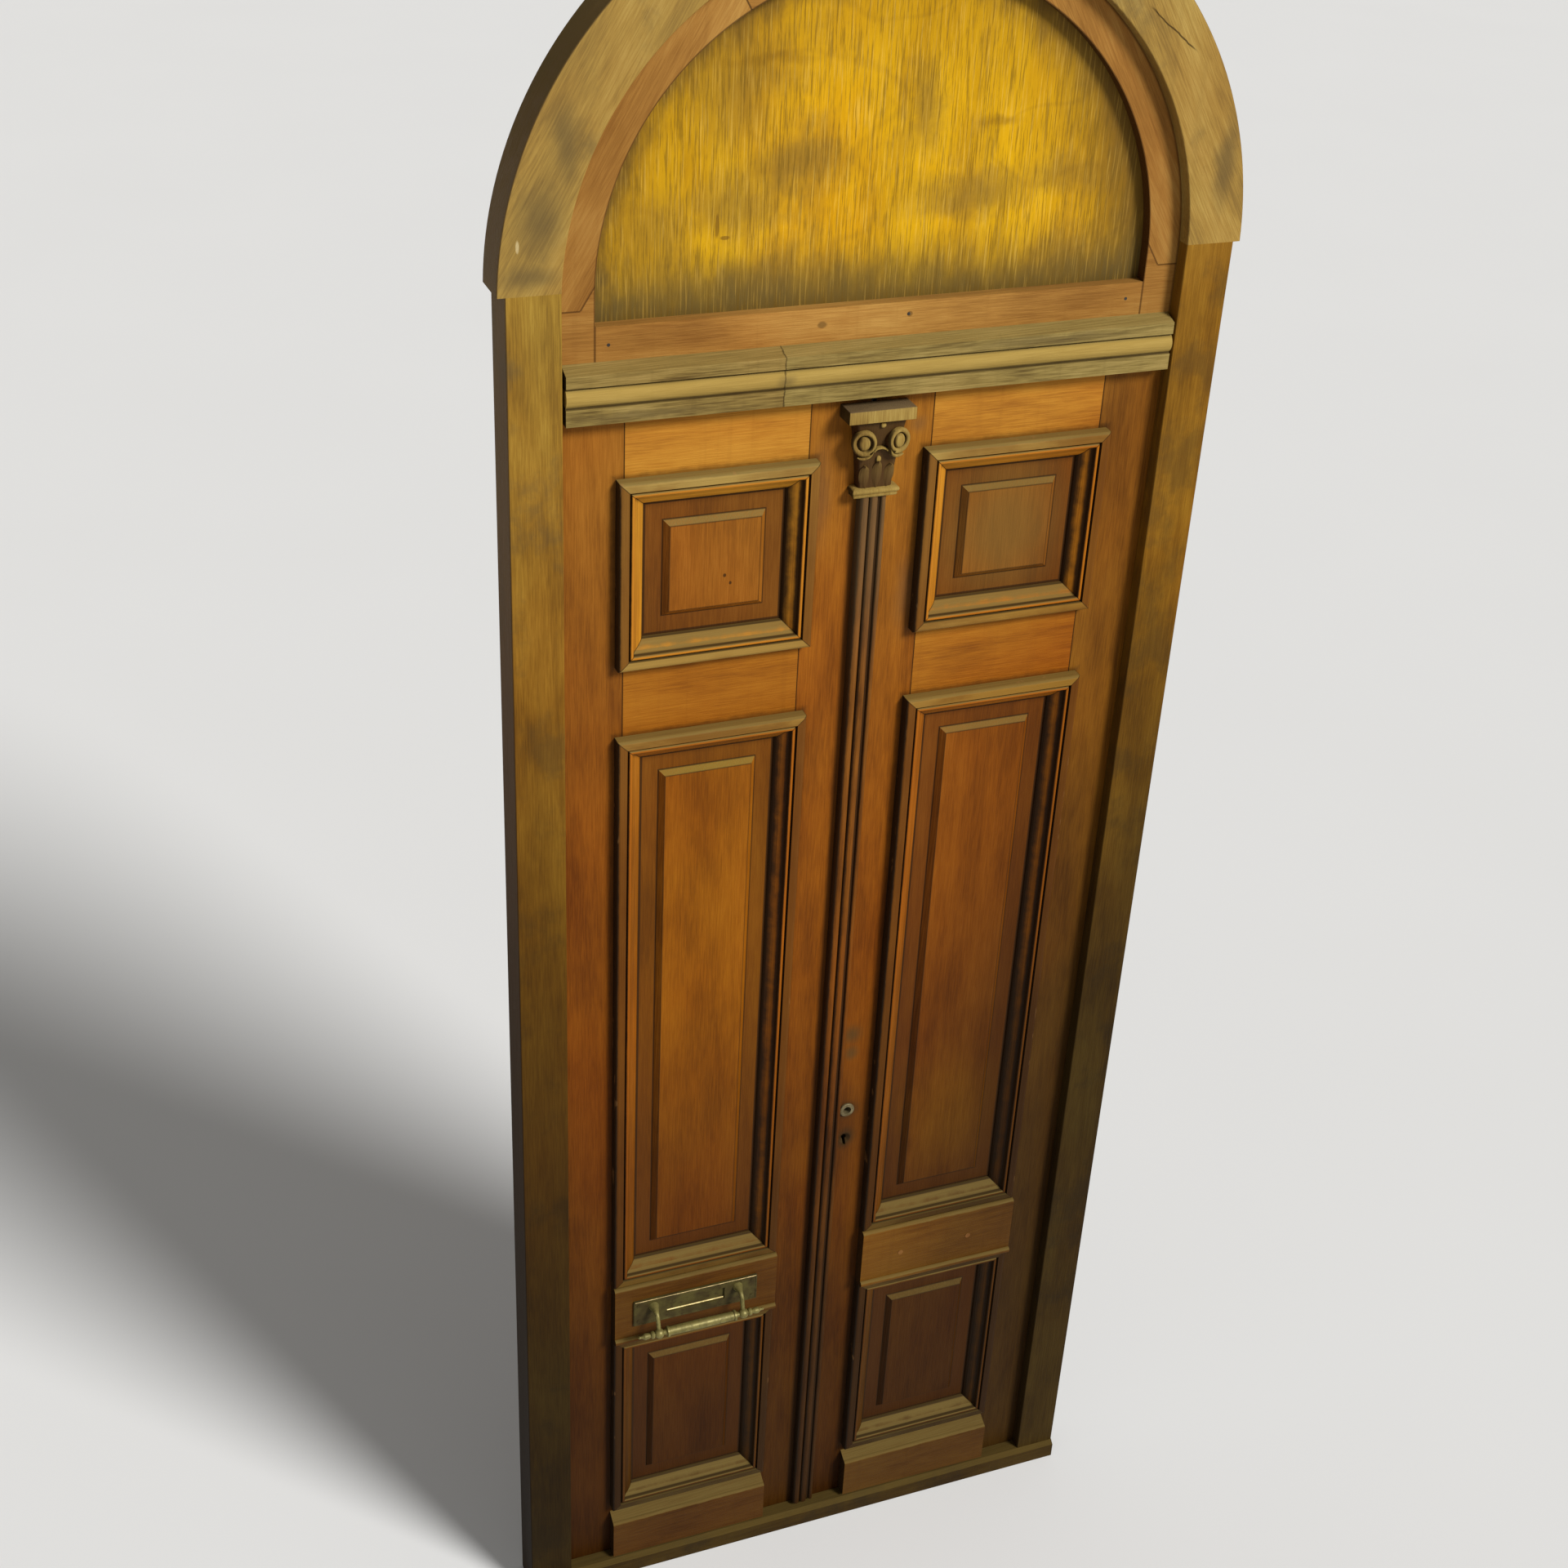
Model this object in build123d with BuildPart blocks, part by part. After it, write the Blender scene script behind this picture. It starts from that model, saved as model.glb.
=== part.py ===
from build123d import *
import math
import os

# An arched double door in its timber frame. Millimetres, +Z up, +X to the right seen from outside.
# The origin is the middle of the threshold's underside, and the outside of the door faces -Y.
# "right" and "left" are as seen from outside. Both leaves open inwards, towards +Y.

# Frame
opening_half = 536.0        # centre line to the jamb's visible edge
jamb_face = 88.0            # width of a jamb's front face
head_step = 13.0            # the arched head stands out past the jambs by this much
leaf_thickness = 55.0
stop_depth = 26.0           # front lip of the rebate that the leaves close against
stop_cover = 12.0           # how far that lip laps over a leaf's edge
stop_gap = 1.0              # air between lip and leaf
head_joint_rise = 18.0      # arch's centre to the joint between jamb and head
head_pieces = 3
arris = 2.5                 # worn round along the frame's outer edges

# Threshold
threshold_height = 45.0     # its lip stands in front of the leaves' feet
threshold_nose = 10.0       # how far it runs out in front of the frame
threshold_fall = 8.0        # drop of its weathered top
foot_gap = 6.0              # air under the leaves, over the threshold's rebate

# Transom, cornice and fanlight
cornice_joint_x = -170.0    # the cornice is in two lengths that butt here
cornice_end_gap = 5.0
cornice_projection = 28.0
fascia_low = 28.0
torus_height = 29.0
fascia_high = 20.0
cornice_quirk = 3.0
cornice_weathering = 10.0
transom_tenon = 40.0
tenon_half = 12.0
tenon_cheek = 10.0
sash_face = 59.0            # width of the fanlight frame's face
sash_thickness = 45.0
sash_gap = 1.0
rail_height = 56.0
rail_upturn = 27.0          # the rail's ends rise past its top to meet the arch
arch_leg = 21.0             # straight foot of the arch above those ends
horn_width = 23.0           # slanted part of that joint, at its inner edge
horn_rise = 39.0
pane_setback = 22.0
pane_thickness = 10.0
pane_rebate = 10.0
bead_size = 11.0

# Leaves
leaf_gap = 3.0              # air at the hinge edge and above
leaf_bottom = 36.0
meeting_gap = 1.5           # centre line to a leaf's back edge
meeting_bevel = 3.0         # the edges open up by this much towards the front
meeting_stile = 110.0       # centre line to the meeting stile's inner edge
hinge_stile = 117.0
bottom_rail_width = 164.0
bottom_opening = 473.0
middle_rail_width = 174.0
tall_opening = 1234.0
frieze_rail_width = 163.0
top_opening = 313.0
top_rail_width = 133.0
tenon_length = 70.0
tenon_shoulder = 20.0
panel_thickness = 20.0
panel_setback = 9.0         # leaf face to the panel's sunk margin
panel_groove = 12.0
field_height = 10.0         # the raised field, with a bevel at 45 degrees
field_margin = 69.0         # panel opening to the foot of the bevel

# Bolection moulding: it laps over the framing and runs down to the panel
moulding_lap = 14.0
moulding_width = 49.0
moulding_front = 23.0
moulding_flat = 17.0
moulding_quirk = 3.0
moulding_bead = 3.5
mitre_gap = 0.3
joint_chamfer = 0.8         # eased edges where lengths of timber meet

# Boards planted on the leaves
apron_thickness = 28.0
apron_round = 8.0           # its upper edge
apron_bead = 7.0            # radius of the bead along its foot
kick_clearance = 16.0       # leaf's foot to the board's underside
kick_height = 114.0
kick_thickness = 29.0
kick_fall = 12.0
kick_round = 8.0

# Cover strip and capital, carried by the left leaf over the meeting of the two
strip_x = 4.0               # its middle, and the carving's, from the centre line
strip_half = 24.0
strip_projection = 20.0
strip_reeds = 2
strip_groove = 5.0          # between the reeds and the bead along the right edge
strip_bead = 10.0           # width of that bead
strip_bead_sink = 3.0       # it lies this much behind the reeds
strip_clearance = 1.2       # air between the strip and the right leaf
capital_clearance = 16.0    # air under the cornice
capital_neck = 17.0         # height of the ring at its foot
neck_half = 43.0
neck_stand = 6.0            # that ring stands out past the strip
capital_height = 162.0
abacus_half = 60.0
abacus_height = 25.0
abacus_projection = 42.0
bell_low_half = 31.0
bell_high_half = 45.0
volute_radius = 23.5
volute_x = 32.0             # carving's middle to a volute's
volute_drop = 34.0          # abacus underside to the volutes' centres
volute_turn = 15.0          # each faces outwards by this angle
volute_sink = 4.0           # behind the abacus's face
scroll_relief = 4.5
scroll_depth = 16.0
scroll_hollow = (15.5, 17.5)  # half axes of the sunk ring inside a scroll
eye_half = (11.0, 13.3)     # half axes of its domed eye
tip_length = 20.0           # curled tip under each scroll
leaf_chamfer = 2.0
leaf_stand = 3.0            # carved leaves stand this far out of the bell

# Hinges
hinge_from_ends = (294.0, 270.0)  # a leaf's foot and head to the outer hinges' middles
hinge_share = 0.536         # where the middle hinge sits between them
hinge_height = 110.0
hinge_plate = 3.0
hinge_depth = 30.0
knuckle_radius = 7.0
knuckle_clearance = 1.0     # knuckle to the back of the leaf
hinge_pin_radius = 4.0
pin_fit = 0.08
knuckle_gap = 0.6

# Lock in the right leaf
lock_x = 47.0               # keyholes, from the centre line
keyhole_above_foot = 1047.0
keyhole_radius = 5.5
keyhole_slot = 6.0
keyhole_drop = 18.0
keyhole_wear = 12.5          # radius of the worn hollow round it
keyhole_wear_depth = 5.0
collar_rise = 74.0          # keyhole to collar
collar_radius = 15.5
collar_bore = 8.5
collar_wall = 3.0
collar_stand = 4.0
case_wall = 3.0
case_depth = 90.0
case_thickness = 18.0
case_above = 33.0           # past the upper of keyhole and collar
case_below = 73.0           # past the lower of them
faceplate_width = 24.0
faceplate_thickness = 3.0
faceplate_sink = 0.8
faceplate_over = 20.0
bolt_height = 36.0
bolt_length = 62.0
bolt_throw = 20.0
bolt_play = 0.5
bolt_notch = 16.0           # where the key lifts it
bolt_notch_depth = 10.0
strike_spare = 6.0          # depth of the pocket behind the thrown bolt
strike_half = 60.0

# Flush bolts in the left leaf's meeting edge
rod_x = 22.0
rod_radius = 5.8
rod_play = 0.6
rod_length = 240.0
rod_throw = 22.0
rod_recess = 2.0
rod_spare = 6.0             # depth of bore and keep past a rod's travel
thumb_width = 9.0
thumb_height = 12.0
thumb_from_end = 200.0
bolt_plate_height = 90.0

# Letter plate and pull on the left apron
plate_x = -272.0
plate_width = 264.0
plate_height = 65.0
plate_rise = 3.5            # plate's middle above the middle rail's
plate_thickness = 4.0
aperture_width = 124.0
aperture_height = 30.0
aperture_rise = 1.5         # aperture's middle above the plate's
slot_margin = 7.0           # the slot behind is wider than the aperture
slot_below = 5.0
slot_above = 10.0
flap_thickness = 2.0
flap_gap = 0.4
flap_lap = 3.0
flap_side_gap = 1.0
flap_pin_rise = 4.0         # aperture's upper edge to the flap's pin
flap_barrel = 2.5
flap_pin_radius = 1.4
flap_pin_fit = 0.07
lug_thickness = 2.0
pull_span = 180.0
pull_stem_rise = 12.0       # above the plate's middle
pull_bar_drop = 28.0        # below it
pull_reach = 38.0
bar_neck = 5.0              # radius where the stems hold the bar
pull_body_half = 68.0
pull_body_radius = 10.0
pull_end = 44.0
stem_radius = 4.5
stem_flare = 10.5           # radius of a stem's foot on the plate
stem_cone = 20.0            # length over which it tapers
stem_straight = 0.62        # share of the reach before a stem bends down
stem_bend = 14.0

# Worked out from the sizes above
threshold_floor = leaf_bottom - foot_gap
frame_depth = stop_depth + stop_gap + leaf_thickness
front = -frame_depth / 2
back = frame_depth / 2
lip_back = front + stop_depth
leaf_face = lip_back + stop_gap
leaf_middle = (leaf_face + back) / 2
jamb_outer = opening_half + jamb_face
head_outer = jamb_outer + head_step
rebate_half = opening_half + stop_cover
hinge_edge = rebate_half - leaf_gap
stile_inner = hinge_edge - hinge_stile
bottom_rail_top = leaf_bottom + bottom_rail_width
middle_rail_bottom = bottom_rail_top + bottom_opening
middle_rail_top = middle_rail_bottom + middle_rail_width
frieze_rail_bottom = middle_rail_top + tall_opening
frieze_rail_top = frieze_rail_bottom + frieze_rail_width
top_rail_bottom = frieze_rail_top + top_opening
leaf_top = top_rail_bottom + top_rail_width
cornice_bottom = leaf_top - stop_cover
transom_bottom = leaf_top + leaf_gap
cornice_top = (
    cornice_bottom + fascia_low + cornice_quirk + torus_height + cornice_quirk + fascia_high + cornice_weathering
)
sash_bottom = cornice_top
sash_inner = opening_half - sash_face
sash_outer = rebate_half - sash_gap
sash_front = lip_back
sash_back = sash_front + sash_thickness
pane_front = sash_front + pane_setback
pane_back = pane_front + pane_thickness
rail_top = sash_bottom + rail_height
leg_bottom = rail_top + rail_upturn
springing = leg_bottom + arch_leg
head_joint = springing + head_joint_rise
kick_bottom = leaf_bottom + kick_clearance
kick_top = kick_bottom + kick_height
capital_bottom = cornice_bottom - capital_clearance - capital_height
panel_front = leaf_face + panel_setback
panel_back = panel_front + panel_thickness
hinge_low = leaf_bottom + hinge_from_ends[0]
hinge_high = leaf_top - hinge_from_ends[1]
hinge_heights = (hinge_low, hinge_low + hinge_share * (hinge_high - hinge_low), hinge_high)
hinge_axis_x = (hinge_edge + rebate_half) / 2
hinge_axis_y = back + knuckle_radius + knuckle_clearance
apron_front = leaf_face - apron_thickness
case_front = leaf_middle - case_thickness / 2
rod_bore = rod_recess + rod_length + rod_spare
rod_reach = rod_throw - rod_recess
plate_front = apron_front - plate_thickness
plate_middle = (middle_rail_bottom + middle_rail_top) / 2 + plate_rise
plate_low = plate_middle - plate_height / 2
plate_high = plate_middle + plate_height / 2
aperture_low = plate_middle + aperture_rise - aperture_height / 2
aperture_high = aperture_low + aperture_height
slot_low = aperture_low - slot_below
slot_high = aperture_high + slot_above
flap_pin_z = aperture_high + flap_pin_rise
pull_stem_z = plate_middle + pull_stem_rise
pull_bar_z = plate_middle - pull_bar_drop
keyhole_height = leaf_bottom + keyhole_above_foot
collar_height = keyhole_height + collar_rise
bolt_centre = keyhole_height
faceplate_x = meeting_gap + meeting_bevel - faceplate_sink
strike_pocket = bolt_throw - 2 * faceplate_x + strike_spare

os.makedirs("parts", exist_ok=True)


def span(a, b):
    """A length and its middle, for a stretch given by its two ends."""
    return abs(b - a), (a + b) / 2


def block(x, y, z, mode=Mode.ADD):
    """Adds a block to the open part, between two limits along each axis."""
    width, x_mid = span(*x)
    depth, y_mid = span(*y)
    height, z_mid = span(*z)
    with Locations((x_mid, y_mid, z_mid)):
        Box(width, depth, height, mode=mode)


def save(shape, name):
    """Labels a finished piece and writes it to its own file."""
    shape.label = name
    export_step(shape, f"parts/{name}.step")


def arch_plane(degrees):
    """A plane across the arch: its x runs out from the centre, its y runs inwards through the wall."""
    a = math.radians(degrees)
    return Plane(
        origin=(0, 0, springing), x_dir=(math.cos(a), 0, math.sin(a)), z_dir=(-math.sin(a), 0, math.cos(a))
    )


arch_axis = Axis((0, 0, springing), (0, -1, 0))
head_span = 180 / head_pieces


# Threshold
def threshold():
    top_front = threshold_height - threshold_fall
    with BuildPart() as sill:
        with BuildSketch(Plane.YZ.offset(-jamb_outer)):
            with BuildLine():
                Polyline(
                    (front - threshold_nose, 0),
                    (back, 0),
                    (back, threshold_height),
                    (front, threshold_height),
                    (front - threshold_nose, top_front),
                    close=True,
                )
            make_face()
        extrude(amount=2 * jamb_outer)
        block((-rebate_half, rebate_half), (lip_back, back), (threshold_floor, threshold_height), Mode.SUBTRACT)
        nose = sill.edges().filter_by(Axis.X).sort_by(Axis.Y)[:2]
        fillet(nose, radius=arris)
        with Locations((-rod_x, leaf_middle, threshold_floor)):
            Cylinder(
                rod_radius + rod_play,
                rod_reach - foot_gap + rod_spare,
                align=(Align.CENTER, Align.CENTER, Align.MAX),
                mode=Mode.SUBTRACT,
            )
    return sill.part


# Jambs
def jamb(side):
    transom_mid = (transom_bottom + sash_bottom) / 2
    with BuildPart() as post:
        with BuildSketch(Plane.XY.offset(threshold_height)):
            with BuildLine():
                Polyline(
                    (side * opening_half, front),
                    (side * jamb_outer, front),
                    (side * jamb_outer, back),
                    (side * rebate_half, back),
                    (side * rebate_half, lip_back),
                    (side * opening_half, lip_back),
                    close=True,
                )
            make_face()
        extrude(amount=head_joint - threshold_height)
        front_edges = post.edges().filter_by(Axis.Z).group_by(Axis.Y)[0]
        fillet(front_edges, radius=arris)
        block(
            (side * rebate_half, side * (rebate_half + transom_tenon)),
            (leaf_middle - tenon_half, leaf_middle + tenon_half),
            (transom_bottom + tenon_cheek, sash_bottom - tenon_cheek),
            Mode.SUBTRACT,
        )
        for height in hinge_heights:
            block(
                (side * rebate_half, side * (rebate_half + hinge_plate)),
                (back - hinge_depth, back),
                (height - hinge_height / 2, height + hinge_height / 2),
                Mode.SUBTRACT,
            )
    return post.part


# Arched head, in lengths between radial joints
def head_length(start, degrees):
    with BuildPart() as length:
        with BuildSketch(arch_plane(start)):
            with BuildLine():
                Polyline(
                    (opening_half, front),
                    (head_outer, front),
                    (head_outer, back),
                    (rebate_half, back),
                    (rebate_half, lip_back),
                    (opening_half, lip_back),
                    close=True,
                )
            make_face()
        revolve(axis=arch_axis, revolution_arc=degrees)
        rims = length.edges().filter_by(GeomType.CIRCLE).group_by(Axis.Y)[0]
        fillet(rims, radius=arris)
        block(
            (-2 * head_outer, 2 * head_outer), (2 * front, 2 * back), (springing - arris, head_joint), Mode.SUBTRACT
        )
    return length.part


# Transom bar between the jambs, with a keep hole for the left leaf's top bolt
def transom():
    with BuildPart() as bar:
        block((-rebate_half, rebate_half), (lip_back, back), (transom_bottom, sash_bottom))
        block(
            (-rebate_half - transom_tenon, rebate_half + transom_tenon),
            (leaf_middle - tenon_half, leaf_middle + tenon_half),
            (transom_bottom + tenon_cheek, sash_bottom - tenon_cheek),
        )
        with Locations((-rod_x, leaf_middle, transom_bottom)):
            Cylinder(
                rod_radius + rod_play,
                rod_reach - leaf_gap + rod_spare,
                align=(Align.CENTER, Align.CENTER, Align.MIN),
                mode=Mode.SUBTRACT,
            )
    return bar.part


# Cornice planted on the transom bar: a fascia, a torus between two quirks, a fascia with a weathered top
def cornice_length(x_from, x_to):
    face = lip_back - cornice_projection
    deep = face + 5.0
    z1 = cornice_bottom + fascia_low
    z2 = z1 + cornice_quirk
    z3 = z2 + torus_height
    z4 = z3 + cornice_quirk
    z5 = z4 + fascia_high
    with BuildPart() as length:
        with BuildSketch(Plane.YZ.offset(x_from)):
            with BuildLine():
                Polyline((lip_back, cornice_top), (lip_back, cornice_bottom), (face + 2, cornice_bottom))
                Polyline((face + 2, cornice_bottom), (face + 2, z1), (deep, z1), (deep, z2))
                ThreePointArc((deep, z2), (face - 2, (z2 + z3) / 2), (deep, z3))
                Polyline((deep, z3), (deep, z4), (face, z4), (face, z5), (lip_back, cornice_top))
            make_face()
        extrude(amount=x_to - x_from)
    return length.part


# Fanlight frame: a rail with upturned ends and an arch in three lengths
def sash_section():
    with BuildLine() as outline:
        Polyline(
            (sash_inner, sash_front),
            (sash_outer, sash_front),
            (sash_outer, sash_back),
            (sash_inner + pane_rebate, sash_back),
            (sash_inner + pane_rebate, pane_front),
            (sash_inner, pane_front),
            close=True,
        )
    make_face(outline.edges())


def sash_length(start, degrees, leg=None):
    """One length of the arch, with a straight leg down to the rail at the springing if it has one."""
    with BuildPart() as length:
        with BuildSketch(arch_plane(start)):
            sash_section()
        revolve(axis=arch_axis, revolution_arc=degrees)
        if leg is not None:
            with BuildSketch(arch_plane(leg)):
                sash_section()
            extrude(amount=leg_bottom - springing if leg == 0 else springing - leg_bottom)
    return length.part


def horn(side):
    """The slanted end of the joint between rail and arch, as a wedge through the sash's thickness."""
    with BuildPart(mode=Mode.PRIVATE) as wedge:
        with BuildSketch(Plane.XZ.offset(-sash_back)):
            with BuildLine():
                Polyline(
                    (side * sash_inner, leg_bottom),
                    (side * (sash_inner + horn_width), leg_bottom),
                    (side * (sash_inner - 1.0), leg_bottom + horn_rise),
                    (side * (sash_inner - 1.0), leg_bottom),
                    close=True,
                )
            make_face()
        extrude(amount=sash_thickness)
    return wedge.part


def arch_side(side):
    """The arch's lowest length on one side, with its leg and its slanted foot."""
    start, leg = (0, 0) if side > 0 else (180 - head_span, 180)
    with BuildPart() as length:
        add(sash_length(start, head_span, leg))
        add(horn(side), mode=Mode.SUBTRACT)
    return length.part


def rail_horn(side):
    start, leg = (0, 0) if side > 0 else (180 - head_span, 180)
    with BuildPart(mode=Mode.PRIVATE) as tip:
        add(sash_length(start, head_span, leg))
        add(horn(side), mode=Mode.INTERSECT)
    return tip.part


def fanlight_rail():
    with BuildPart() as rail:
        block((-sash_outer, sash_outer), (sash_front, sash_back), (sash_bottom, rail_top))
        for side in (-1, 1):
            block((side * sash_inner, side * sash_outer), (sash_front, sash_back), (rail_top, leg_bottom))
            add(rail_horn(side))
        block(
            (-sash_inner - pane_rebate, sash_inner + pane_rebate),
            (pane_front, sash_back),
            (rail_top - pane_rebate, leg_bottom),
            Mode.SUBTRACT,
        )
    return rail.part


def fanlight_panel():
    radius = sash_inner + pane_rebate
    low = rail_top - pane_rebate
    with BuildPart() as pane:
        with BuildSketch(Plane.XZ.offset(-pane_back)):
            with BuildLine():
                Polyline((-radius, springing), (-radius, low), (radius, low), (radius, springing))
                CenterArc((0, springing), radius, 0, 180)
            make_face()
        extrude(amount=pane_thickness)
    return pane.part


def fanlight_beads():
    """Quarter-round beads that hold the panel from inside: one round the arch, one along the rail."""
    radius = sash_inner + pane_rebate
    low = rail_top - pane_rebate

    middle = bead_size * math.sin(math.pi / 4)
    with BuildPart() as arch_bead:
        for start, amount in ((0, 0), (0, -1), (180, 1)):
            with BuildSketch(arch_plane(start)):
                with BuildLine():
                    Line((radius, pane_back), (radius - bead_size, pane_back))
                    ThreePointArc(
                        (radius - bead_size, pane_back),
                        (radius - middle, pane_back + middle),
                        (radius, pane_back + bead_size),
                    )
                    Line((radius, pane_back + bead_size), (radius, pane_back))
                make_face()
            if amount == 0:
                revolve(axis=arch_axis, revolution_arc=180)
            else:
                extrude(amount=amount * (springing - low - bead_size - mitre_gap))
    with BuildPart() as rail_bead:
        with BuildSketch(Plane.YZ.offset(-radius + mitre_gap)):
            with BuildLine():
                Line((pane_back, low), (pane_back, low + bead_size))
                ThreePointArc(
                    (pane_back, low + bead_size), (pane_back + middle, low + middle), (pane_back + bead_size, low)
                )
                Line((pane_back + bead_size, low), (pane_back, low))
            make_face()
        extrude(amount=2 * (radius - mitre_gap))
    return Compound(children=[arch_bead.part, rail_bead.part])


# Hinge halves. The jamb's halves carry the pins, and the leaves lift off them.
def jamb_hinge_half(side, height):
    low = height - hinge_height / 2
    lower_knuckle = (hinge_height - knuckle_gap) / 2
    with BuildPart() as half:
        block((side * rebate_half, side * (rebate_half + hinge_plate)), (back - hinge_depth, back), (low, low + hinge_height))
        block((side * rebate_half, side * (rebate_half + hinge_plate)), (back, hinge_axis_y), (low, low + lower_knuckle))
        with Locations((side * hinge_axis_x, hinge_axis_y, low)):
            Cylinder(knuckle_radius, lower_knuckle, align=(Align.CENTER, Align.CENTER, Align.MIN))
            Cylinder(hinge_pin_radius, hinge_height - knuckle_gap, align=(Align.CENTER, Align.CENTER, Align.MIN))
    return half.part


def leaf_hinge_half(side, height):
    top = height + hinge_height / 2
    upper_knuckle = (hinge_height - knuckle_gap) / 2
    with BuildPart() as half:
        block((side * (hinge_edge - hinge_plate), side * hinge_edge), (back - hinge_depth, back), (top - hinge_height, top))
        block((side * (hinge_edge - hinge_plate), side * hinge_edge), (back, hinge_axis_y), (top - upper_knuckle, top))
        with Locations((side * hinge_axis_x, hinge_axis_y, top)):
            Cylinder(knuckle_radius, upper_knuckle, align=(Align.CENTER, Align.CENTER, Align.MAX))
            Cylinder(
                hinge_pin_radius + pin_fit,
                upper_knuckle,
                align=(Align.CENTER, Align.CENTER, Align.MAX),
                mode=Mode.SUBTRACT,
            )
    return half.part


# Panel openings of a leaf, as the heights of their lower and upper edges
openings = {
    "top": (frieze_rail_top, top_rail_bottom),
    "tall": (middle_rail_top, frieze_rail_bottom),
    "bottom": (bottom_rail_top, middle_rail_bottom),
}
rails = {
    "top_rail": (top_rail_bottom, leaf_top),
    "frieze_rail": (frieze_rail_bottom, frieze_rail_top),
    "middle_rail": (middle_rail_bottom, middle_rail_top),
    "bottom_rail": (leaf_bottom, bottom_rail_top),
}


def stile_joinery(side, edge, into):
    """Cuts the panel grooves and the mortises for the rails' tenons into a stile's inner edge."""
    for low, high in openings.values():
        block(
            (side * edge, side * (edge + into * panel_groove)),
            (panel_front, panel_back),
            (low - panel_groove, high + panel_groove),
            Mode.SUBTRACT,
        )
    for low, high in rails.values():
        block(
            (side * edge, side * (edge + into * tenon_length)),
            (panel_front, panel_back),
            (low + tenon_shoulder, high - tenon_shoulder),
            Mode.SUBTRACT,
        )


def hinge_stile_part(side):
    with BuildPart() as stile:
        block((side * stile_inner, side * hinge_edge), (leaf_face, back), (leaf_bottom, leaf_top))
        stile_joinery(side, stile_inner, 1)
        for height in hinge_heights:
            block(
                (side * (hinge_edge - hinge_plate), side * hinge_edge),
                (back - hinge_depth, back),
                (height - hinge_height / 2, height + hinge_height / 2),
                Mode.SUBTRACT,
            )
    return stile.part


def meeting_stile_blank(side):
    """The meeting stile before its hardware: its edge is bevelled, so that the leaves clear each other."""
    with BuildSketch(Plane.XY.offset(leaf_bottom)) as section:
        with BuildLine():
            Polyline(
                (side * meeting_gap, back),
                (side * (meeting_gap + meeting_bevel), leaf_face),
                (side * meeting_stile, leaf_face),
                (side * meeting_stile, back),
                close=True,
            )
        make_face()
    extrude(section.sketch, amount=leaf_top - leaf_bottom)
    stile_joinery(side, meeting_stile, -1)


def rail_part(side, name):
    low, high = rails[name]
    with BuildPart() as rail:
        block((side * meeting_stile, side * stile_inner), (leaf_face, back), (low, high))
        chamfer(rail.edges().filter_by(Axis.Z).group_by(Axis.Y)[0], length=joint_chamfer)
        block(
            (side * (meeting_stile - tenon_length), side * (stile_inner + tenon_length)),
            (panel_front, panel_back),
            (low + tenon_shoulder, high - tenon_shoulder),
        )
        for edge, grooved in ((high, name != "top_rail"), (low, name != "bottom_rail")):
            if grooved:
                block(
                    (side * meeting_stile, side * stile_inner),
                    (panel_front, panel_back),
                    (edge - panel_groove, edge + panel_groove),
                    Mode.SUBTRACT,
                )
        if side < 0 and name == "middle_rail":
            letter_slot(leaf_face, back)
    return rail.part


def panel_part(side, name):
    low, high = openings[name]
    width, x_mid = span(side * meeting_stile, side * stile_inner)
    height, z_mid = span(low, high)
    with BuildPart() as panel:
        block(
            (side * (meeting_stile - panel_groove), side * (stile_inner + panel_groove)),
            (panel_front, panel_back),
            (low - panel_groove, high + panel_groove),
        )
        with BuildSketch(Plane(origin=(x_mid, panel_front, z_mid), x_dir=(1, 0, 0), z_dir=(0, -1, 0))):
            Rectangle(width - 2 * field_margin, height - 2 * field_margin)
        extrude(amount=field_height, taper=45)
    return panel.part


# Bolection moulding, as four mitred lengths round an opening
def moulding_section():
    """The section in the open sketch: x runs in towards the panel, y runs out from the leaf's face."""
    foot = -panel_setback
    quirk_deep = moulding_front - 6.0
    bead_from = moulding_flat + moulding_quirk
    bead_to = bead_from + 2 * moulding_bead
    hollow = (bead_to + 7.0, 8.0)
    with BuildLine() as outline:
        Line((0, 0), (0, moulding_front - 6.0))
        ThreePointArc((0, moulding_front - 6.0), (2.2, moulding_front - 1.6), (7.0, moulding_front))
        Line((7.0, moulding_front), (moulding_flat, moulding_front))
        Polyline((moulding_flat, moulding_front), (moulding_flat + 1.0, quirk_deep), (bead_from, quirk_deep + 1.5))
        ThreePointArc(
            (bead_from, quirk_deep + 1.5),
            (bead_from + moulding_bead, quirk_deep + 1.5 + moulding_bead),
            (bead_to, quirk_deep + 1.5),
        )
        ThreePointArc((bead_to, quirk_deep + 1.5), (bead_to + 2.0, 12.0), hollow)
        ThreePointArc(hollow, (moulding_width - 5.5, 1.5), (moulding_width, foot + 3.0))
        Polyline(
            (moulding_width, foot + 3.0),
            (moulding_width, foot),
            (moulding_lap, foot),
            (moulding_lap, 0),
            (0, 0),
        )
    make_face(outline.edges())


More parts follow.
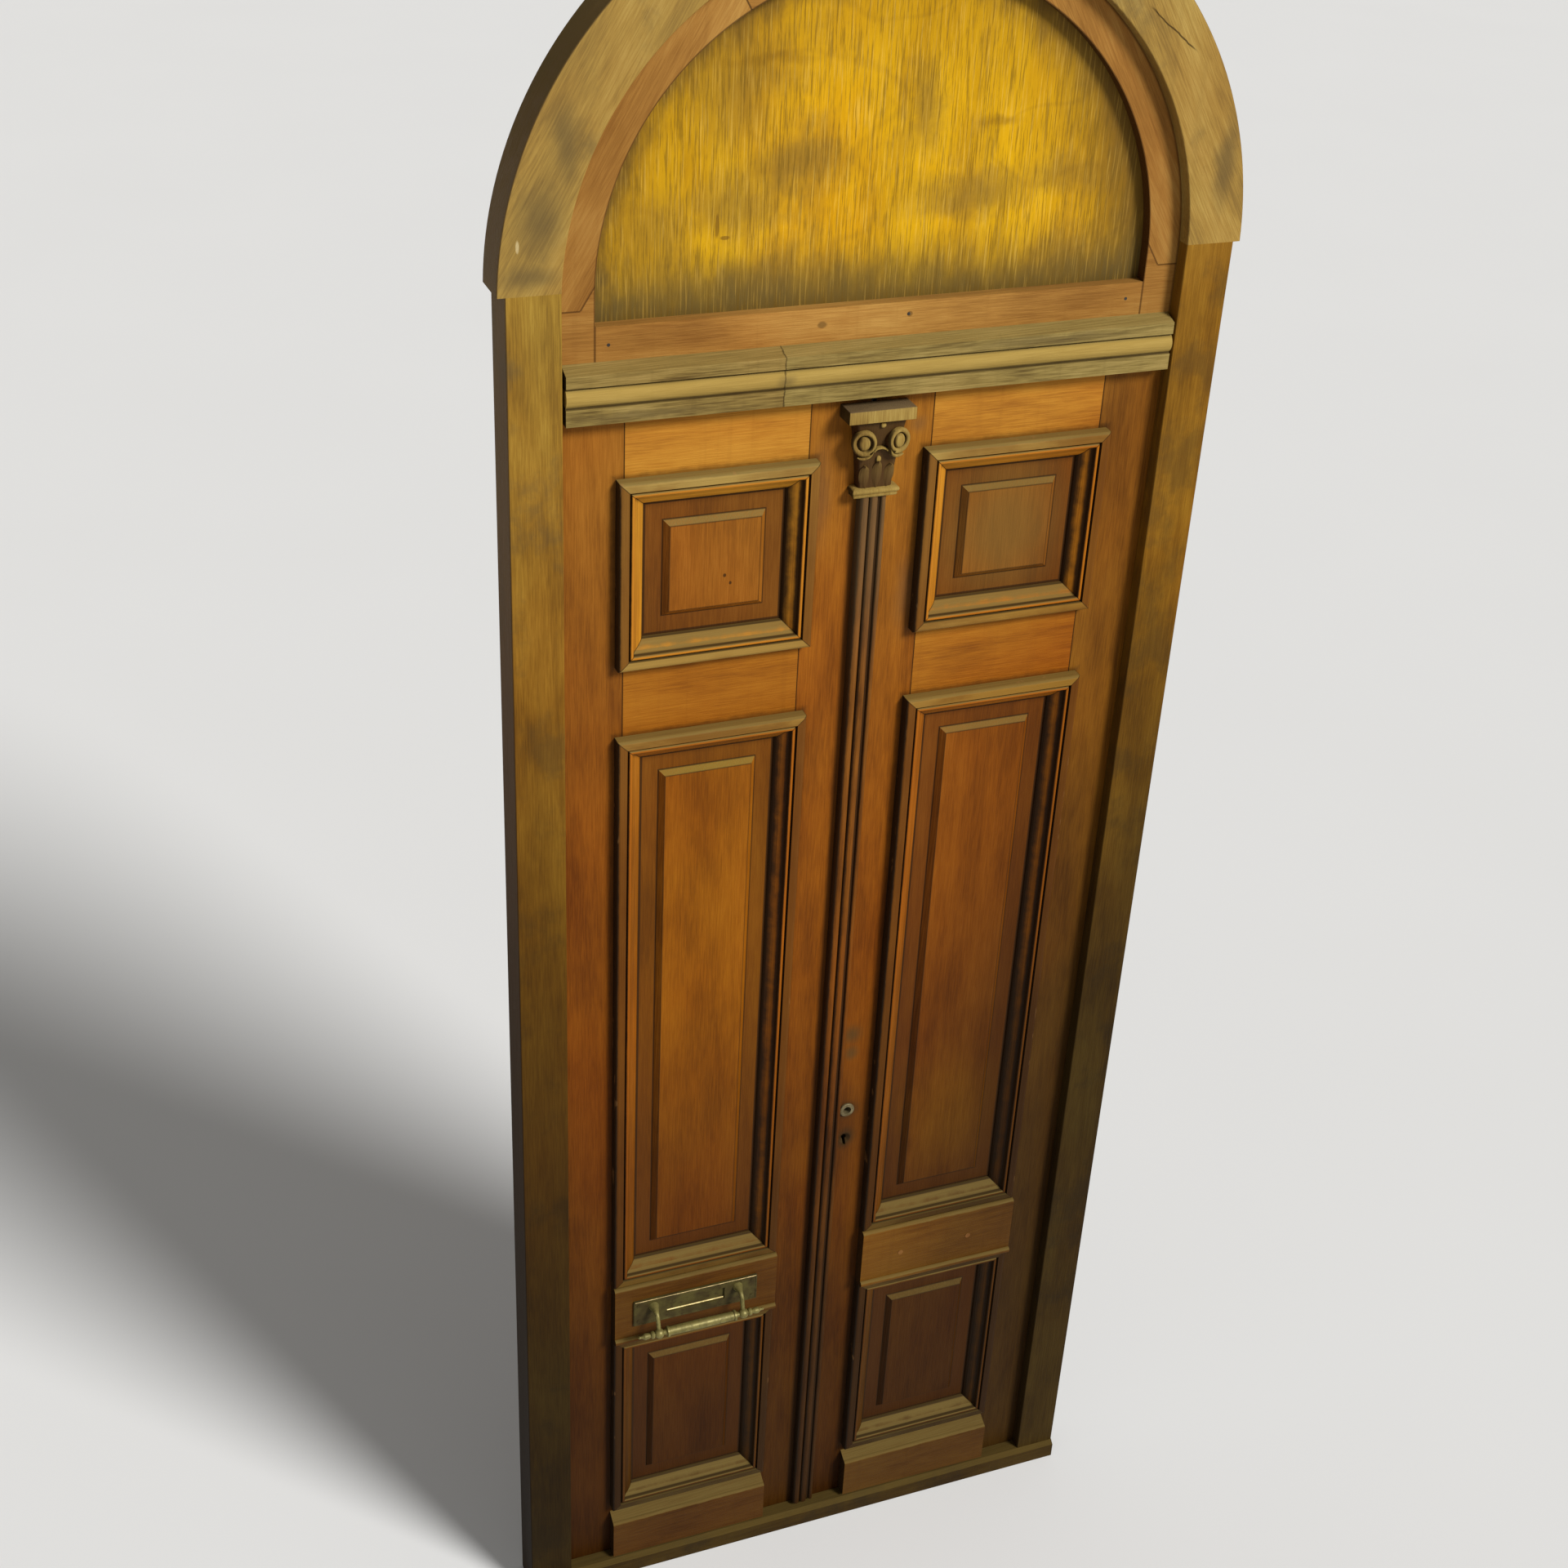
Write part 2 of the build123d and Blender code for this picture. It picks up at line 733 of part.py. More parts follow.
def moulding_length(corner, inward, along, length):
    """One length, from the outer corner it starts at, mitred at both ends."""
    with BuildPart() as piece:
        with BuildSketch(Plane(origin=corner, x_dir=inward, z_dir=along)):
            moulding_section()
        extrude(amount=length)
        half_gap = mitre_gap / math.sqrt(2)
        with BuildSketch(Plane(origin=corner, x_dir=along, z_dir=(0, 1, 0) if inward_is_left(inward, along) else (0, -1, 0))):
            with BuildLine():
                Polyline(
                    (half_gap, 0),
                    (length - half_gap, 0),
                    (length - moulding_width - half_gap, moulding_width),
                    (moulding_width + half_gap, moulding_width),
                    close=True,
                )
            make_face()
        extrude(amount=2 * moulding_front, both=True, mode=Mode.INTERSECT)
    return piece.part


def inward_is_left(inward, along):
    """Whether the mitre sketch needs its normal along +Y for its y axis to run inwards."""
    cross = Vector(*along).cross(Vector(*inward))
    return cross.Y > 0


def moulding_frame(side, name):
    low, high = openings[name]
    x_low, x_high = sorted((side * meeting_stile, side * stile_inner))
    x_low -= moulding_lap
    x_high += moulding_lap
    z_low = low - moulding_lap
    z_high = high + moulding_lap
    width = x_high - x_low
    height = z_high - z_low
    lengths = [
        moulding_length((x_low, leaf_face, z_high), (1, 0, 0), (0, 0, -1), height),
        moulding_length((x_high, leaf_face, z_low), (-1, 0, 0), (0, 0, 1), height),
        moulding_length((x_low, leaf_face, z_low), (0, 0, 1), (1, 0, 0), width),
        moulding_length((x_high, leaf_face, z_high), (0, 0, -1), (-1, 0, 0), width),
    ]
    return Compound(children=lengths)


# Boards planted on the leaf's face
def apron(side):
    low = middle_rail_bottom + moulding_lap
    high = middle_rail_top - moulding_lap
    x_low, x_high = sorted((side * (meeting_stile - moulding_lap), side * (stile_inner + moulding_lap)))
    with BuildPart() as board:
        with BuildSketch(Plane.YZ.offset(x_low)):
            with BuildLine():
                Polyline(
                    (apron_front, high - apron_round),
                    (apron_front, low + 2 * apron_bead),
                    (apron_front, low),
                    (leaf_face, low),
                    (leaf_face, high),
                    (apron_front + apron_round, high),
                )
                RadiusArc(
                    (apron_front + apron_round, high), (apron_front, high - apron_round), -apron_round
                )
            make_face()
            with Locations((apron_front, low + apron_bead)):
                Circle(apron_bead)
        extrude(amount=x_high - x_low)
        if side < 0:
            letter_slot(apron_front, leaf_face)
    return board.part


def letter_slot(y_from, y_to):
    """Cuts the way for letters behind the plate."""
    half = aperture_width / 2 + slot_margin
    block((plate_x - half, plate_x + half), (y_from, y_to), (slot_low, slot_high), Mode.SUBTRACT)


def kick_board(side):
    x_low, x_high = sorted((side * (meeting_stile - moulding_lap), side * (stile_inner + moulding_lap)))
    out = leaf_face - kick_thickness
    cut = kick_round * (1 - math.sin(math.pi / 4))
    with BuildPart() as board:
        with BuildSketch(Plane.YZ.offset(x_low)):
            with BuildLine():
                Polyline(
                    (leaf_face, kick_top),
                    (leaf_face, kick_bottom),
                    (out, kick_bottom),
                    (out, kick_top - kick_fall - kick_round),
                )
                ThreePointArc(
                    (out, kick_top - kick_fall - kick_round),
                    (out + cut, kick_top - kick_fall - cut),
                    (out + kick_round, kick_top - kick_fall),
                )
                Line((out + kick_round, kick_top - kick_fall), (leaf_face, kick_top))
            make_face()
        extrude(amount=x_high - x_low)
    return board.part


# Right meeting stile with its lock
def keyhole(y, depth):
    """Cuts the keyhole inwards from y."""
    with BuildSketch(Plane.XZ.offset(-y)) as outline:
        with Locations((lock_x, keyhole_height)):
            Circle(keyhole_radius)
        with Locations((lock_x, keyhole_height - keyhole_drop / 2)):
            Rectangle(keyhole_slot, keyhole_drop)
    extrude(outline.sketch, amount=-depth, mode=Mode.SUBTRACT)


def case_limits():
    low = min(keyhole_height, collar_height) - case_below
    high = max(keyhole_height, collar_height) + case_above
    inner = faceplate_x + faceplate_thickness
    return inner, inner + case_depth, low, high


def right_meeting_stile():
    inner, outer, low, high = case_limits()
    with BuildPart() as stile:
        meeting_stile_blank(1)
        block((inner, outer), (case_front, case_front + case_thickness), (low, high), Mode.SUBTRACT)
        block(
            (0, inner),
            (leaf_middle - faceplate_width / 2, leaf_middle + faceplate_width / 2),
            (low - faceplate_over, high + faceplate_over),
            Mode.SUBTRACT,
        )
        keyhole(leaf_face, case_front - leaf_face)
        with Locations(Location((lock_x, leaf_face + keyhole_wear_depth / 2, keyhole_height), (90, 0, 0))):
            Cone(keyhole_radius, keyhole_wear, keyhole_wear_depth, mode=Mode.SUBTRACT)
        with Locations(Location((lock_x, (leaf_face + case_front) / 2, collar_height), (90, 0, 0))):
            Cylinder(collar_bore + collar_wall, case_front - leaf_face, mode=Mode.SUBTRACT)
    return stile.part


def key_collar():
    """A brass collar let into the stile, with the bore that took a lock cylinder."""
    with BuildPart() as collar:
        with BuildSketch(Plane.XZ.offset(-leaf_face)):
            with Locations((lock_x, collar_height)):
                Circle(collar_radius)
        extrude(amount=collar_stand)
        fillet(collar.edges().group_by(Axis.Y)[0], radius=collar_stand / 2)
        with BuildSketch(Plane.XZ.offset(-leaf_face)):
            with Locations((lock_x, collar_height)):
                Circle(collar_bore + collar_wall)
        extrude(amount=-(case_front - leaf_face))
        with Locations(Location((lock_x, leaf_face, collar_height), (90, 0, 0))):
            Cylinder(collar_bore, 4 * (case_front - leaf_face), mode=Mode.SUBTRACT)
    return collar.part


def lock_case():
    """The mortise lock: a hollow case and its faceplate in the leaf's edge, cut for key and bolt."""
    inner, outer, low, high = case_limits()
    bolt_low = bolt_centre - bolt_height / 2 - bolt_play
    bolt_high = bolt_centre + bolt_height / 2 + bolt_play
    with BuildPart() as case:
        block((inner, outer), (case_front, case_front + case_thickness), (low, high))
        block(
            (inner + case_wall, outer - case_wall),
            (case_front + case_wall, case_front + case_thickness - case_wall),
            (low + case_wall, high - case_wall),
            Mode.SUBTRACT,
        )
        block(
            (faceplate_x, inner),
            (leaf_middle - faceplate_width / 2, leaf_middle + faceplate_width / 2),
            (low - faceplate_over, high + faceplate_over),
        )
        block(
            (faceplate_x, inner + case_wall),
            (case_front + case_wall, case_front + case_thickness - case_wall),
            (bolt_low, bolt_high),
            Mode.SUBTRACT,
        )
        keyhole(case_front, case_wall)
    return case.part


def deadbolt():
    half = case_thickness / 2 - case_wall - bolt_play
    with BuildPart() as bolt:
        block(
            (faceplate_x, faceplate_x + bolt_length),
            (leaf_middle - half, leaf_middle + half),
            (bolt_centre - bolt_height / 2, bolt_centre + bolt_height / 2),
        )
        with Locations((lock_x, leaf_middle, bolt_centre - bolt_height / 2)):
            Box(bolt_notch, 2 * half, 2 * bolt_notch_depth, mode=Mode.SUBTRACT)
    return bolt.part


# Left meeting stile with its strike and flush bolts
def rod_ends():
    """Each flush bolt: the leaf's end it leaves by, the direction it is thrown, and its thumb piece's height."""
    return (
        (leaf_top, 1, leaf_top - thumb_from_end),
        (leaf_bottom, -1, leaf_bottom + thumb_from_end),
    )


def left_meeting_stile():
    with BuildPart() as stile:
        meeting_stile_blank(-1)
        edge = (-faceplate_x - faceplate_thickness, 0)
        plate_y = (leaf_middle - faceplate_width / 2, leaf_middle + faceplate_width / 2)
        block(edge, plate_y, strike_limits(), Mode.SUBTRACT)
        half = case_thickness / 2 - case_wall
        block(
            (-faceplate_x - strike_pocket, 0),
            (leaf_middle - half, leaf_middle + half),
            (bolt_centre - bolt_height / 2 - 2 * bolt_play, bolt_centre + bolt_height / 2 + 2 * bolt_play),
            Mode.SUBTRACT,
        )
        for end, direction, thumb in rod_ends():
            with Locations((-rod_x, leaf_middle, end - direction * rod_bore / 2)):
                Cylinder(rod_radius + rod_play, rod_bore, mode=Mode.SUBTRACT)
            block(edge, plate_y, (thumb - bolt_plate_height / 2, thumb + bolt_plate_height / 2), Mode.SUBTRACT)
            block((-rod_x, 0), thumb_slot(), thumb_travel(thumb, direction, rod_play), Mode.SUBTRACT)
    return stile.part


def thumb_slot():
    half = thumb_width / 2 + bolt_play
    return leaf_middle - half, leaf_middle + half


def thumb_travel(thumb, direction, play):
    ends = (thumb - direction * (thumb_height / 2 + play), thumb + direction * (thumb_height / 2 + rod_throw + play))
    return min(ends), max(ends)


def strike_limits():
    return bolt_centre - strike_half, bolt_centre + strike_half


def strike_plate():
    with BuildPart() as plate:
        block(
            (-faceplate_x - faceplate_thickness, -faceplate_x),
            (leaf_middle - faceplate_width / 2, leaf_middle + faceplate_width / 2),
            strike_limits(),
        )
        half = case_thickness / 2 - case_wall
        block(
            (-faceplate_x - faceplate_thickness, -faceplate_x),
            (leaf_middle - half, leaf_middle + half),
            (bolt_centre - bolt_height / 2 - 2 * bolt_play, bolt_centre + bolt_height / 2 + 2 * bolt_play),
            Mode.SUBTRACT,
        )
    return plate.part


def flush_bolt_plates():
    plates = []
    for end, direction, thumb in rod_ends():
        with BuildPart() as plate:
            block(
                (-faceplate_x - faceplate_thickness, -faceplate_x),
                (leaf_middle - faceplate_width / 2, leaf_middle + faceplate_width / 2),
                (thumb - bolt_plate_height / 2, thumb + bolt_plate_height / 2),
            )
            block(
                (-faceplate_x - faceplate_thickness, -faceplate_x),
                thumb_slot(),
                thumb_travel(thumb, direction, rod_play),
                Mode.SUBTRACT,
            )
        plates.append(plate.part)
    return Compound(children=plates)


def flush_bolt(end, direction, thumb):
    with BuildPart() as rod:
        with Locations((-rod_x, leaf_middle, end - direction * (rod_recess + rod_length / 2))):
            Cylinder(rod_radius, rod_length)
        block(
            (-rod_x, -faceplate_x),
            (leaf_middle - thumb_width / 2, leaf_middle + thumb_width / 2),
            (thumb - thumb_height / 2, thumb + thumb_height / 2),
        )
        chamfer(rod.edges().filter_by(GeomType.CIRCLE).sort_by(Axis.Z)[-1 if direction > 0 else 0], length=1.5)
    return rod.part


# Reeded cover strip
def cover_strip():
    """Two reeds, a groove and a bead, from left to right, over the meeting of the leaves."""
    left, right = strip_x - strip_half, strip_x + strip_half
    crest = leaf_face - strip_projection
    bead_left = right - strip_bead
    pitch = (bead_left - strip_groove - left) / strip_reeds
    valley = crest + pitch / 2 - 1.0
    bead_valley = crest + strip_bead_sink + strip_bead / 2
    with BuildPart() as strip:
        with BuildSketch(Plane.XY.offset(kick_bottom)):
            with BuildLine():
                Polyline(
                    (left, valley),
                    (left, leaf_face),
                    (0, leaf_face),
                    (0, leaf_face - strip_clearance),
                    (right, leaf_face - strip_clearance),
                    (right, bead_valley),
                )
                ThreePointArc(
                    (right, bead_valley),
                    (right - strip_bead / 2, bead_valley - strip_bead / 2),
                    (bead_left, bead_valley),
                )
                Polyline((bead_left, bead_valley), (bead_left - strip_groove, bead_valley), (left + strip_reeds * pitch, valley))
                for n in reversed(range(strip_reeds)):
                    x = left + n * pitch
                    ThreePointArc((x + pitch, valley), (x + pitch / 2, crest), (x, valley))
            make_face()
        extrude(amount=capital_bottom - kick_bottom)
    return strip.part


# Carved capital: neck ring, bell with leaves, two volutes and an abacus, worked from one block
def volute_plane(side, z, y):
    """A plane on one volute's face, turned outwards."""
    a = math.radians(volute_turn)
    across = (math.cos(a), side * math.sin(a), 0)
    outward = (side * math.sin(a), -math.cos(a), 0)
    return Plane(origin=(strip_x + side * volute_x, y, z), x_dir=across, z_dir=outward)


def volute(side, z, y_front):
    """A scroll in relief round a domed eye, with a curled tip under it."""
    ground = volute_plane(side, z, y_front + scroll_relief)
    with BuildPart(mode=Mode.PRIVATE) as scroll:
        with BuildSketch(ground):
            Circle(volute_radius)
        extrude(amount=-scroll_depth)
        with BuildSketch(ground):
            Circle(volute_radius)
        extrude(amount=scroll_relief)
        chamfer(scroll.edges().filter_by(GeomType.CIRCLE).sort_by(Axis.Y)[0], length=scroll_relief / 2)
        with BuildSketch(volute_plane(side, z, y_front)):
            Ellipse(*scroll_hollow)
            Ellipse(*eye_half, mode=Mode.SUBTRACT)
        extrude(amount=-scroll_relief, both=True, mode=Mode.SUBTRACT)
    add(scroll.part)
    leaf_relief(
        strip_x + side * (volute_x + leaf_chamfer), z - volute_radius - leaf_chamfer, tip_length / 2, tip_length,
        y_front + 2 * leaf_stand,
    )


def leaf_relief(x, z, width, height, y_front):
    """A small carved leaf: two arcs that meet in points, with chamfered edges."""
    low = (x, z - height / 2)
    high = (x, z + height / 2)
    with BuildPart(mode=Mode.PRIVATE) as relief:
        with BuildSketch(Plane.XZ.offset(-y_front)):
            with BuildLine():
                ThreePointArc(low, (x + width / 2, z), high)
                ThreePointArc(high, (x - width / 2, z), low)
            make_face()
        extrude(amount=-4 * leaf_stand)
        chamfer(relief.edges().group_by(Axis.Y)[0], length=leaf_chamfer)
    add(relief.part)


def neck_ring(y_front, z_low, z_high):
    """A half-round ring across the strip's head."""
    with BuildPart(mode=Mode.PRIVATE) as ring:
        block((strip_x - neck_half, strip_x + neck_half), (y_front, leaf_face), (z_low, z_high))
        fillet(ring.edges().filter_by(Axis.X).group_by(Axis.Y)[0], radius=capital_neck / 3)
    add(ring.part)


def capital():
    neck_top = capital_bottom + capital_neck
    abacus_low = capital_bottom + capital_height - abacus_height
    bell_low = leaf_face - strip_projection + 1.0
    bell_high = leaf_face - abacus_projection + 10.0
    with BuildPart() as carving:
        for z, half, y in ((neck_top - 1.0, bell_low_half, bell_low), (abacus_low, bell_high_half, bell_high)):
            depth, y_mid = span(leaf_face, y)
            with BuildSketch(Plane.XY.offset(z)):
                with Locations((strip_x, y_mid)):
                    Rectangle(2 * half, depth)
        loft()
        neck_ring(leaf_face - strip_projection - neck_stand, capital_bottom, neck_top)
        block(
            (-abacus_half, abacus_half),
            (leaf_face - abacus_projection, leaf_face),
            (abacus_low, abacus_low + abacus_height),
        )
        for side in (-1, 1):
            volute(side, abacus_low - volute_drop, leaf_face - abacus_projection + volute_sink)
        rise = (bell_high - bell_low) / (abacus_low - neck_top)
        for x, z, width, height in (
            (0.0, abacus_low - 6.0, 12.0, 11.0),
            (0.0, abacus_low - volute_drop - volute_radius, 17.0, 22.0),
            (-17.0, neck_top + 20.0, 16.0, 38.0),
            (17.0, neck_top + 20.0, 16.0, 38.0),
            (0.0, neck_top + 20.0, 16.0, 38.0),
        ):
            leaf_relief(strip_x + x, z, width, height, bell_low + rise * (z - neck_top) - leaf_stand)
        block(
            (0, 2 * abacus_half),
            (leaf_face - strip_clearance, leaf_face + 1.0),
            (capital_bottom, leaf_top),
            Mode.SUBTRACT,
        )
    return carving.part


# Letter plate, its flap and the pull
def letter_plate():
    half = aperture_width / 2
    lug_x = half + flap_side_gap
    with BuildPart() as plate:
        block((plate_x - plate_width / 2, plate_x + plate_width / 2), (plate_front, apron_front), (plate_low, plate_high))
        fillet(plate.edges().filter_by(Axis.Y), radius=2.0)
        block((plate_x - half, plate_x + half), (plate_front, apron_front), (aperture_low, aperture_high), Mode.SUBTRACT)
        for side in (-1, 1):
            block(
                (plate_x + side * lug_x, plate_x + side * (lug_x + lug_thickness)),
                (apron_front, apron_front + flap_gap + 2 * flap_barrel),
                (flap_pin_z - flap_barrel, flap_pin_z + flap_barrel),
            )
        with Locations(Location((plate_x, apron_front + flap_gap + flap_barrel, flap_pin_z), (0, 90, 0))):
            Cylinder(flap_pin_radius, 2 * lug_x)
    return plate.part


def letter_flap():
    half = aperture_width / 2 + flap_side_gap - flap_gap
    y = apron_front + flap_gap
    with BuildPart() as flap:
        block((plate_x - half, plate_x + half), (y, y + flap_thickness), (aperture_low - flap_lap, flap_pin_z))
        with Locations(Location((plate_x, y + flap_barrel, flap_pin_z), (0, 90, 0))):
            Cylinder(flap_barrel, 2 * half)
            Cylinder(flap_pin_radius + flap_pin_fit, 2 * half, mode=Mode.SUBTRACT)
    return flap.part


def pull_stems():
    """Two flared stems that leave the plate above the flap and curve down to the bar."""
    bar_y = plate_front - pull_reach
    stems = []
    for side in (-1, 1):
        x = plate_x + side * pull_span / 2
        with BuildPart() as stem:
            with BuildLine(Plane.YZ.offset(x)):
                knee = (plate_front - pull_reach * stem_straight, pull_stem_z)
                path = Polyline((plate_front, pull_stem_z), knee, (bar_y, pull_bar_z))
                fillet(path.vertices()[1:2], radius=stem_bend)
            with BuildSketch(Plane(origin=(x, plate_front, pull_stem_z), z_dir=(0, -1, 0))):
                Circle(stem_radius)
            sweep()
            with Locations(Location((x, plate_front - stem_cone / 2, pull_stem_z), (90, 0, 0))):
                Cone(stem_flare, stem_radius, stem_cone)
            with Locations((x, bar_y, pull_bar_z)):
                Sphere(pull_body_radius + 0.5)
            with Locations(Location((x, bar_y, pull_bar_z), (0, 90, 0))):
                Cylinder(bar_neck, 4 * pull_body_radius, mode=Mode.SUBTRACT)
        stems.append(stem.part)
    return Compound(children=stems)


def bar_half_profile():
    """Points of the bar's outline from its middle to one end, as distance along it and radius."""
    stem = pull_span / 2
    end = stem + pull_end
    body = pull_body_radius
    return (
        (0, body),
        (pull_body_half, body - 0.8),
        (pull_body_half + 1.5, body + 1.2),
        (pull_body_half + 5.5, body + 1.2),
        (pull_body_half + 8.0, body - 4.0),
        (stem - 9.5, bar_neck),
        (stem + 9.5, bar_neck),
        (stem + 11.0, body - 2.8),
        (stem + 14.0, body - 1.6),
        (stem + 17.0, body - 2.8),
        (stem + 19.0, bar_neck - 0.6),
        (stem + 25.0, body - 3.6),
        (stem + 31.0, body - 3.2),
        (end - 8.0, bar_neck - 1.5),
        (end - 5.0, bar_neck - 2.4),
        (end - 2.5, bar_neck - 1.8),
        (end, bar_neck - 3.4),
        (end, 0),
    )


def pull_bar():
    """The turned bar: a plain grip between two beads, and a finial past each stem."""
    half = bar_half_profile()
    outline = [(-x, r) for x, r in reversed(half[1:])] + list(half)
    with BuildPart() as bar:
        with BuildSketch(Plane.XY):
            with BuildLine():
                Polyline(*outline, close=True)
            make_face()
        revolve(axis=Axis.X)
    return Pos(plate_x, plate_front - pull_reach, pull_bar_z) * bar.part


# Frame pieces
save(threshold(), "threshold")
save(jamb(-1), "jamb_left")
save(jamb(1), "jamb_right")
for number, name in enumerate(("arch_head_right", "arch_head_crown", "arch_head_left")):
    save(head_length(number * head_span, head_span), name)
save(transom(), "transom_bar")
cornice_half = opening_half - cornice_end_gap
save(cornice_length(-cornice_half, cornice_joint_x - mitre_gap), "cornice_left")
save(cornice_length(cornice_joint_x, cornice_half), "cornice_right")
save(fanlight_rail(), "fanlight_rail")
save(arch_side(1), "fanlight_arch_right")
save(sash_length(head_span, head_span), "fanlight_arch_crown")
save(arch_side(-1), "fanlight_arch_left")
save(fanlight_panel(), "fanlight_panel")
save(fanlight_beads(), "fanlight_beads")
jamb_halves = [jamb_hinge_half(side, height) for side in (-1, 1) for height in hinge_heights]
save(Compound(children=jamb_halves), "jamb_hinge_halves")

# Pieces that both leaves have
for side, hand in ((-1, "left"), (1, "right")):
    save(hinge_stile_part(side), f"{hand}_hinge_stile")
    for name in rails:
        save(rail_part(side, name), f"{hand}_{name}")
    for name in openings:
        save(panel_part(side, name), f"{hand}_{name}_panel")
        save(moulding_frame(side, name), f"{hand}_{name}_moulding")
    save(apron(side), f"{hand}_apron_board")
    save(kick_board(side), f"{hand}_kick_board")
    halves = [leaf_hinge_half(side, height) for height in hinge_heights]
    save(Compound(children=halves), f"{hand}_hinge_halves")

# Pieces of the right leaf alone
save(right_meeting_stile(), "right_meeting_stile")
save(lock_case(), "lock_case")
save(deadbolt(), "deadbolt")
save(key_collar(), "key_collar")

# Pieces of the left leaf alone
save(left_meeting_stile(), "left_meeting_stile")
save(cover_strip(), "cover_strip")
save(capital(), "capital")
save(strike_plate(), "strike_plate")
save(flush_bolt_plates(), "flush_bolt_plates")
for (end, direction, thumb), name in zip(rod_ends(), ("top_bolt", "bottom_bolt")):
    save(flush_bolt(end, direction, thumb), name)
save(letter_plate(), "letter_plate")
save(letter_flap(), "letter_flap")
save(pull_stems(), "pull_stems")
save(pull_bar(), "pull_bar")
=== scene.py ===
import math

import bmesh
import bpy
from mathutils import Matrix, Vector


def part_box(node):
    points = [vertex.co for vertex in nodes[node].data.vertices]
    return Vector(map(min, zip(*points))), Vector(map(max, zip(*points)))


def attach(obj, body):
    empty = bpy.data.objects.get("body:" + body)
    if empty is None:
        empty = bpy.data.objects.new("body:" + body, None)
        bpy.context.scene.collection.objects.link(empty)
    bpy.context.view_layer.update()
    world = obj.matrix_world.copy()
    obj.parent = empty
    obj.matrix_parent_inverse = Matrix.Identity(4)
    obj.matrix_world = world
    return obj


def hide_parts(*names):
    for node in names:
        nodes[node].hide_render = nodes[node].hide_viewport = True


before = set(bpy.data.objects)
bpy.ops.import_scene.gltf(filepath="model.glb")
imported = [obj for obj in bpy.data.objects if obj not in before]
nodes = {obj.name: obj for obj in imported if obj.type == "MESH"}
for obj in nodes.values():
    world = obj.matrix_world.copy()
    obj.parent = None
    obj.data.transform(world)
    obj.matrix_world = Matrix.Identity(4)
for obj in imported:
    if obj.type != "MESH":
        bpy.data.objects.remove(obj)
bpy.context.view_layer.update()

X, Y, Z = 0, 1, 2


def span(node, axis):
    """How far a node's box reaches along an axis, in metres to a micrometre."""
    low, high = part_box(node)
    return round(low[axis], 6), round(high[axis], 6)


# Sizes, in metres, that the carved and fitted pieces share with the joinery
LEAF_FACE = span("left_meeting_stile", Y)[0]
APRON_FACE = -0.042
PLATE_FACE = span("letter_plate", Y)[0]
SPRINGING = 2.875
SASH_INNER, SASH_OUTER = 0.477, 0.536
RAIL_TOP = 2.827
JAMB_OUT, HEAD_OUT = 0.624, 0.637
CORNICE_FOOT = span("cornice_left", Z)[0]
STILE_INNER = -span("left_hinge_stile", X)[1]
MEETING_STILE = -span("left_meeting_stile", X)[0]
OPENING_MIDDLE = (STILE_INNER + MEETING_STILE) / 2
OPENING_HALF = (STILE_INNER - MEETING_STILE) / 2
RAILS = [span(f"left_{name}_rail", Z) for name in ("bottom", "middle", "frieze", "top")]
OPENINGS = {
    name: (below[1], above[0]) for name, below, above in zip(("bottom", "tall", "top"), RAILS, RAILS[1:])
}
MOULDING_LAP = 0.014
KEYHOLE_X = 0.047
PLATE_X = sum(span("letter_plate", X)) / 2
STRIP_X = sum(span("cover_strip", X)) / 2
NECK_LOW, ABACUS_TOP = span("capital", Z)
NECK_TOP, ABACUS_LOW = NECK_LOW + 0.017, ABACUS_TOP - 0.025
VOLUTE_X, VOLUTE_Y, VOLUTE_Z = 0.032, -0.052, ABACUS_LOW - 0.034
VOLUTE_TURN = math.radians(15)
HINGE_HEIGHTS = (0.330, 1.4495, 2.420)
QUARTER, SIXTH = math.pi / 2, math.pi / 6


# Shader nodes
def tone(red, green, blue):
    """A colour as seen on a screen, 0 to 255, as the shader's own values."""
    def light(value):
        share = value / 255
        return share / 12.92 if value <= 10 else ((share + 0.055) / 1.055) ** 2.4

    return (light(red), light(green), light(blue), 1.0)


